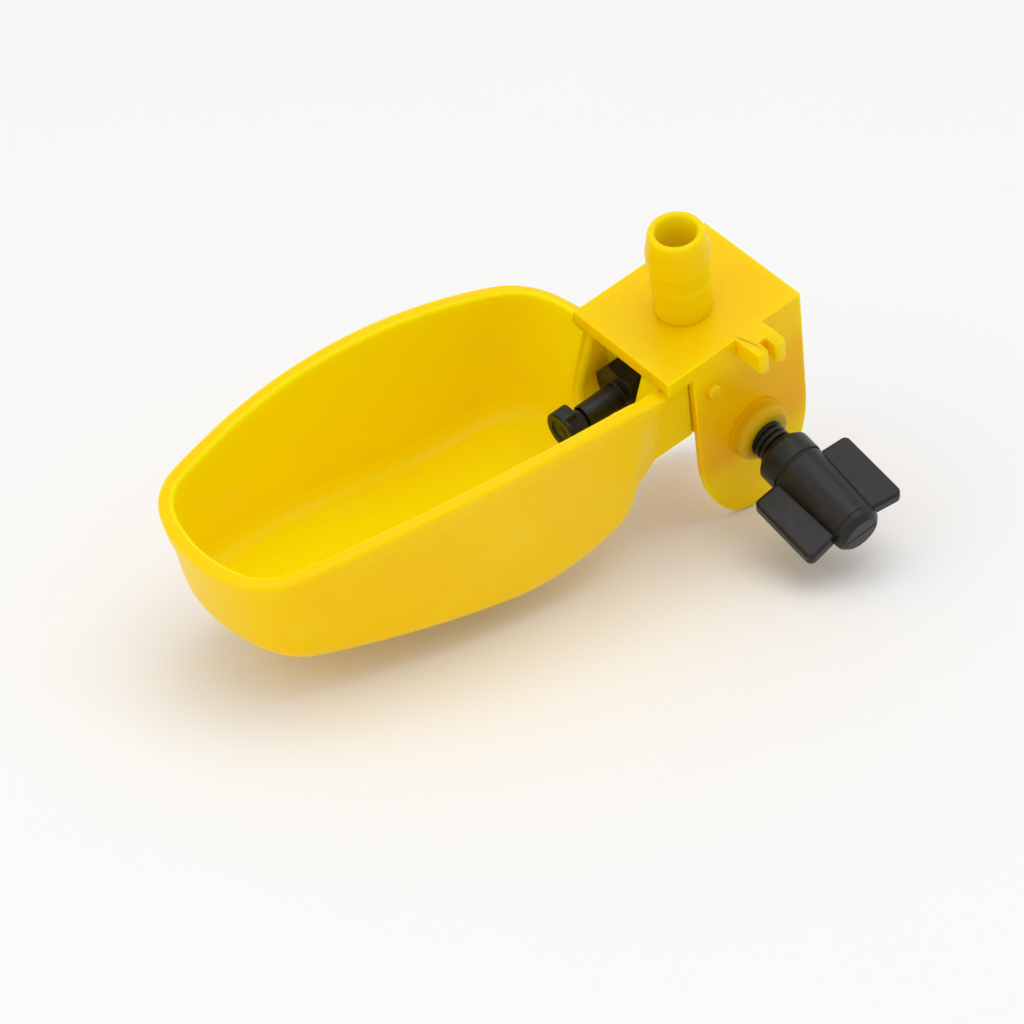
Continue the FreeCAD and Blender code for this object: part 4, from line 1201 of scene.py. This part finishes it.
@dataclass
class WingScrew:
    """The clamp's black screw: threaded shank, collar, tapered barrel, cap and two wings."""

    foot: tuple[float, float, float] = (11.0, 3.25, -21.5)
    drop: float = 0.149
    swing: float = 0.05
    roll: float = 0.12
    tip: float = -5.2
    collar: float = 5.9
    barrel: float = 10.6
    end: float = 23.9
    cap: float = 25.8
    pitch: float = 1.05
    crest: float = 3.0
    root: float = 2.5
    reach: float = 9.3
    wing_thk: float = 2.4

    def axes(self) -> Axes:
        """The screw's own axes: across through the wings, square to them, and along the screw."""
        ahead = np.array([1, -self.swing, -self.drop])
        ahead /= np.linalg.norm(ahead)
        level = np.cross(ahead, (0, 1, 0))
        level /= np.linalg.norm(level)
        across = np.cross(level, ahead) + level * self.roll
        across /= np.linalg.norm(across)
        return Axes(self.foot, tuple(across), tuple(np.cross(ahead, across)), tuple(ahead))

    def thread(self) -> Surface:
        """The threaded shank.

        At angle t and distance s its phase is s / pitch - t / (2 pi), and its radius rises from root to crest
        as a rounded trapezoid of that phase. At the tip the end is bevelled.
        """
        t = np.linspace(0, 2 * np.pi, 80, endpoint=False)[None, :]
        s = np.linspace(self.tip, self.collar + 0.4, 170)[:, None]
        phase = (s / self.pitch - t / (2 * np.pi)) % 1
        shape = np.clip(2.4 - 6.0 * np.abs(phase - 0.5), 0, 1)
        bevel = np.minimum(self.crest, 2.3 + 1.0 * (s - self.tip))
        radius = np.minimum(self.root + (self.crest - self.root) * shape * shape * (3 - 2 * shape), bevel)
        points = np.stack([radius * np.cos(t), radius * np.sin(t), np.broadcast_to(s, radius.shape)], -1)
        ends = points[[0, -1]] * (0, 0, 1)
        return grid_surface(self.axes().place(np.concatenate([ends[:1], points, ends[1:]])))

    def knob(self) -> Surface:
        """Collar, groove, tapered barrel and domed cap, turned from one profile."""
        collar, barrel, end, cap = self.collar, self.barrel, self.end, self.cap
        return turned([
            (collar, 0, 0), (collar, 3.5, 0.25), (collar + 1.2, 4.75, 0.5), (barrel, 4.75, 0.35),
            (barrel + 0.02, 4.45, 0.08), (barrel + 0.35, 4.45, 0.1), (barrel + 0.5, 4.65, 0.2),
            (end - 0.1, 4.1, 0.15), (end, 3.98, 0.04), (end + 0.12, 4.1, 0.06), (end + 1.0, 3.95, 0.5),
            (cap, 3.1, 0.6), (cap, 0, 0)], self.axes(), 128, 7)

    def wings(self) -> Surface:
        """The two wings as one blade through the barrel, rounded along every edge."""
        far, w = self.barrel + 13.4, self.reach
        loop = rounded([(-3.4, self.barrel + 0.1, 1.0), (-w, self.barrel + 0.5, 1.0), (-w, far + 0.8, 1.1),
                        (-3.4, far - 0.1, 1.0), (3.4, far - 0.1, 1.0), (w, far + 0.8, 1.1),
                        (w, self.barrel + 0.5, 1.0), (3.4, self.barrel + 0.1, 1.0)], 8)
        axes = self.axes()
        blade = Axes(axes.origin, axes.first, axes.third, tuple(-np.array(axes.second)))
        return prism(loop[::-1], -self.wing_thk / 2, self.wing_thk / 2, 0.55, blade)

    def seam(self) -> Surface:
        """The fine raised line that the mould's parting left across the cap."""
        loop = rectangle(-3.0, -0.07, 3.0, 0.07, 0.05, 4)
        return prism(loop, self.cap - 0.4, self.cap + 0.04, 0.05, self.axes(), 3)

    def build(self, plastic: bpy.types.Material) -> None:
        """Builds and dresses the screw."""
        piece = new_object("wing_screw_moulding", self.knob() + self.wings() + self.seam() + self.thread())
        dress(piece, plastic, Body.SCREW, Slot.BLACK, "wing_screw")


# The studio.

@dataclass
class Studio:
    """Pale table, soft light and the camera."""

    eye: tuple[float, float, float] = (336.0416, -260.4488, 441.9421)
    right: tuple[float, float, float] = (0.64086, 0.76145, -0.09767)
    up: tuple[float, float, float] = (-0.53678, 0.53541, 0.65211)
    back: tuple[float, float, float] = (0.54882, -0.36547, 0.75182)
    lens: float = 140.625
    floor_normal: tuple[float, float, float] = (-0.1839, 0.2758, 0.9434)
    floor_colour: Colour = opaque(0.93, 0.925, 0.915)

    def camera(self) -> None:
        """The camera from the photograph's viewing angle."""
        data = bpy.data.cameras.new("camera")
        data.lens = self.lens
        data.sensor_width = 36.0
        data.clip_start, data.clip_end = 0.01, 20.0
        camera = bpy.data.objects.new("camera", data)
        turn = Matrix((self.right, self.up, self.back)).transposed().to_4x4()
        camera.matrix_world = Matrix.Translation([size * MM for size in self.eye]) @ turn
        bpy.context.scene.collection.objects.link(camera)
        bpy.context.scene.camera = camera

    def table(self) -> None:
        """A pale table under the object's lowest points, square to the floor's normal."""
        normal = np.array(self.floor_normal) / np.linalg.norm(self.floor_normal)
        points = [vertex_array(node.data, "co").astype(float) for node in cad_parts.values()]
        lowest = min(float((places @ normal).min()) for places in points)
        side = np.cross(normal, (1.0, 0.0, 0.0))
        side /= np.linalg.norm(side)
        other = np.cross(side, normal)
        middle = normal * (lowest - 0.00005)
        t = np.linspace(0, 2 * np.pi, 96, endpoint=False)[:, None]
        ring = middle + 1.6 * (np.cos(t) * other + np.sin(t) * side)
        mesh = bpy.data.meshes.new("table")
        mesh.from_pydata(ring.tolist(), [], [list(range(len(ring)))])
        mesh.update()
        if np.dot(mesh.polygons[0].normal, normal) < 0:
            mesh.flip_normals()
        table = bpy.data.objects.new("table", mesh)
        mesh.materials.append(self.table_material())
        bpy.context.scene.collection.objects.link(table)

    def table_material(self) -> bpy.types.Material:
        """Matt pale board with a faint mottle, seen through from below."""
        made = bpy.data.materials.new("table_board")
        made.use_nodes = True
        graph = Graph(made.node_tree)
        where = graph.node("ShaderNodeTexCoord")["Object"]
        mottle = graph.noise(where, 30.0, 2.0)
        colour = graph.mix(mottle * 0.25, self.floor_colour, opaque(0.90, 0.895, 0.885))
        board = graph.node("ShaderNodeBsdfPrincipled", None,
                           {"Base Color": colour, "Roughness": 0.7, "Specular IOR Level": 0.2})["BSDF"]
        clear = graph.node("ShaderNodeBsdfTransparent")["BSDF"]
        below = graph.node("ShaderNodeNewGeometry")["Backfacing"]
        sight = graph.node("ShaderNodeLightPath")["Is Camera Ray"]
        mixed = graph.node("ShaderNodeMixShader", None, {0: below * sight, 1: board, 2: clear})[0]
        graph.node("ShaderNodeOutputMaterial", None, {"Surface": mixed})
        return made

    def light(self) -> None:
        """A white surround that lights softly, one broad lamp above and a weaker one on the left."""
        scene = bpy.context.scene
        world = scene.world or bpy.data.worlds.new("surround")
        scene.world = world
        world.use_nodes = True
        graph = Graph(world.node_tree)
        path = graph.node("ShaderNodeLightPath")
        seen = path["Is Camera Ray"] + path["Is Glossy Ray"] + path["Is Transmission Ray"]
        looks = ((opaque(0.97, 0.98, 1.0), 0.76), (opaque(0.94, 0.94, 0.94), 1.0))
        soft, white = (graph.node("ShaderNodeBackground", None, {"Color": colour, "Strength": power})[0]
                       for colour, power in looks)
        both = graph.node("ShaderNodeMixShader", None, {0: seen, 1: soft, 2: white})[0]
        graph.node("ShaderNodeOutputWorld", None, {"Surface": both})
        self.lamp("key_lamp", (-0.10, 0.30, 0.92), 0.9, 3.2)
        self.lamp("fill_lamp", (-0.10, -0.65, 0.60), 0.8, 0.9)

    @staticmethod
    def lamp(name: str, place: tuple[float, float, float], size: float, power: float) -> None:
        """A square lamp that looks at the object's middle.

        Args:
            name: its name.
            place: where it stands, in metres.
            size: its side, in metres.
            power: its power in watts.
        """
        data = bpy.data.lights.new(name, "AREA")
        data.shape = "SQUARE"
        data.size = size
        data.energy = power
        lamp = bpy.data.objects.new(name, data)
        back = np.array(place) - (0.0, -0.037, -0.01)
        back /= np.linalg.norm(back)
        side = np.cross((0, 0, 1), back)
        side /= np.linalg.norm(side)
        turn = Matrix((tuple(side), tuple(np.cross(back, side)), tuple(back))).transposed().to_4x4()
        lamp.matrix_world = Matrix.Translation(place) @ turn
        bpy.context.scene.collection.objects.link(lamp)

    def build(self) -> None:
        """Builds table, lights and camera."""
        bpy.context.scene.view_settings.view_transform = "Standard"
        self.table()
        self.light()
        self.camera()


def main() -> None:
    """Builds every sub-assembly in order, then the studio."""
    logging.basicConfig(level=logging.INFO, format="%(message)s")
    yellow = YellowPlastic("yellow_plastic").material()
    # the bracket's yellow gets the painted shade band from 3 to 28 mm down and on the boss
    yellow_bracket = YellowPlastic("yellow_plastic_bracket", streaks=0.12, painted_shade_amount=0.6).material()
    black = BlackPlastic("black_plastic").material()
    rubber = Rubber("black_rubber").material()
    steel = SpringSteel("spring_steel").material()
    screw = WingScrew()
    Cup().build(yellow)
    Bracket().build(yellow_bracket, screw.axes())
    Nipple().build(black, rubber, steel)
    screw.build(black)
    Studio().build()


if __name__ == "__main__":
    main()
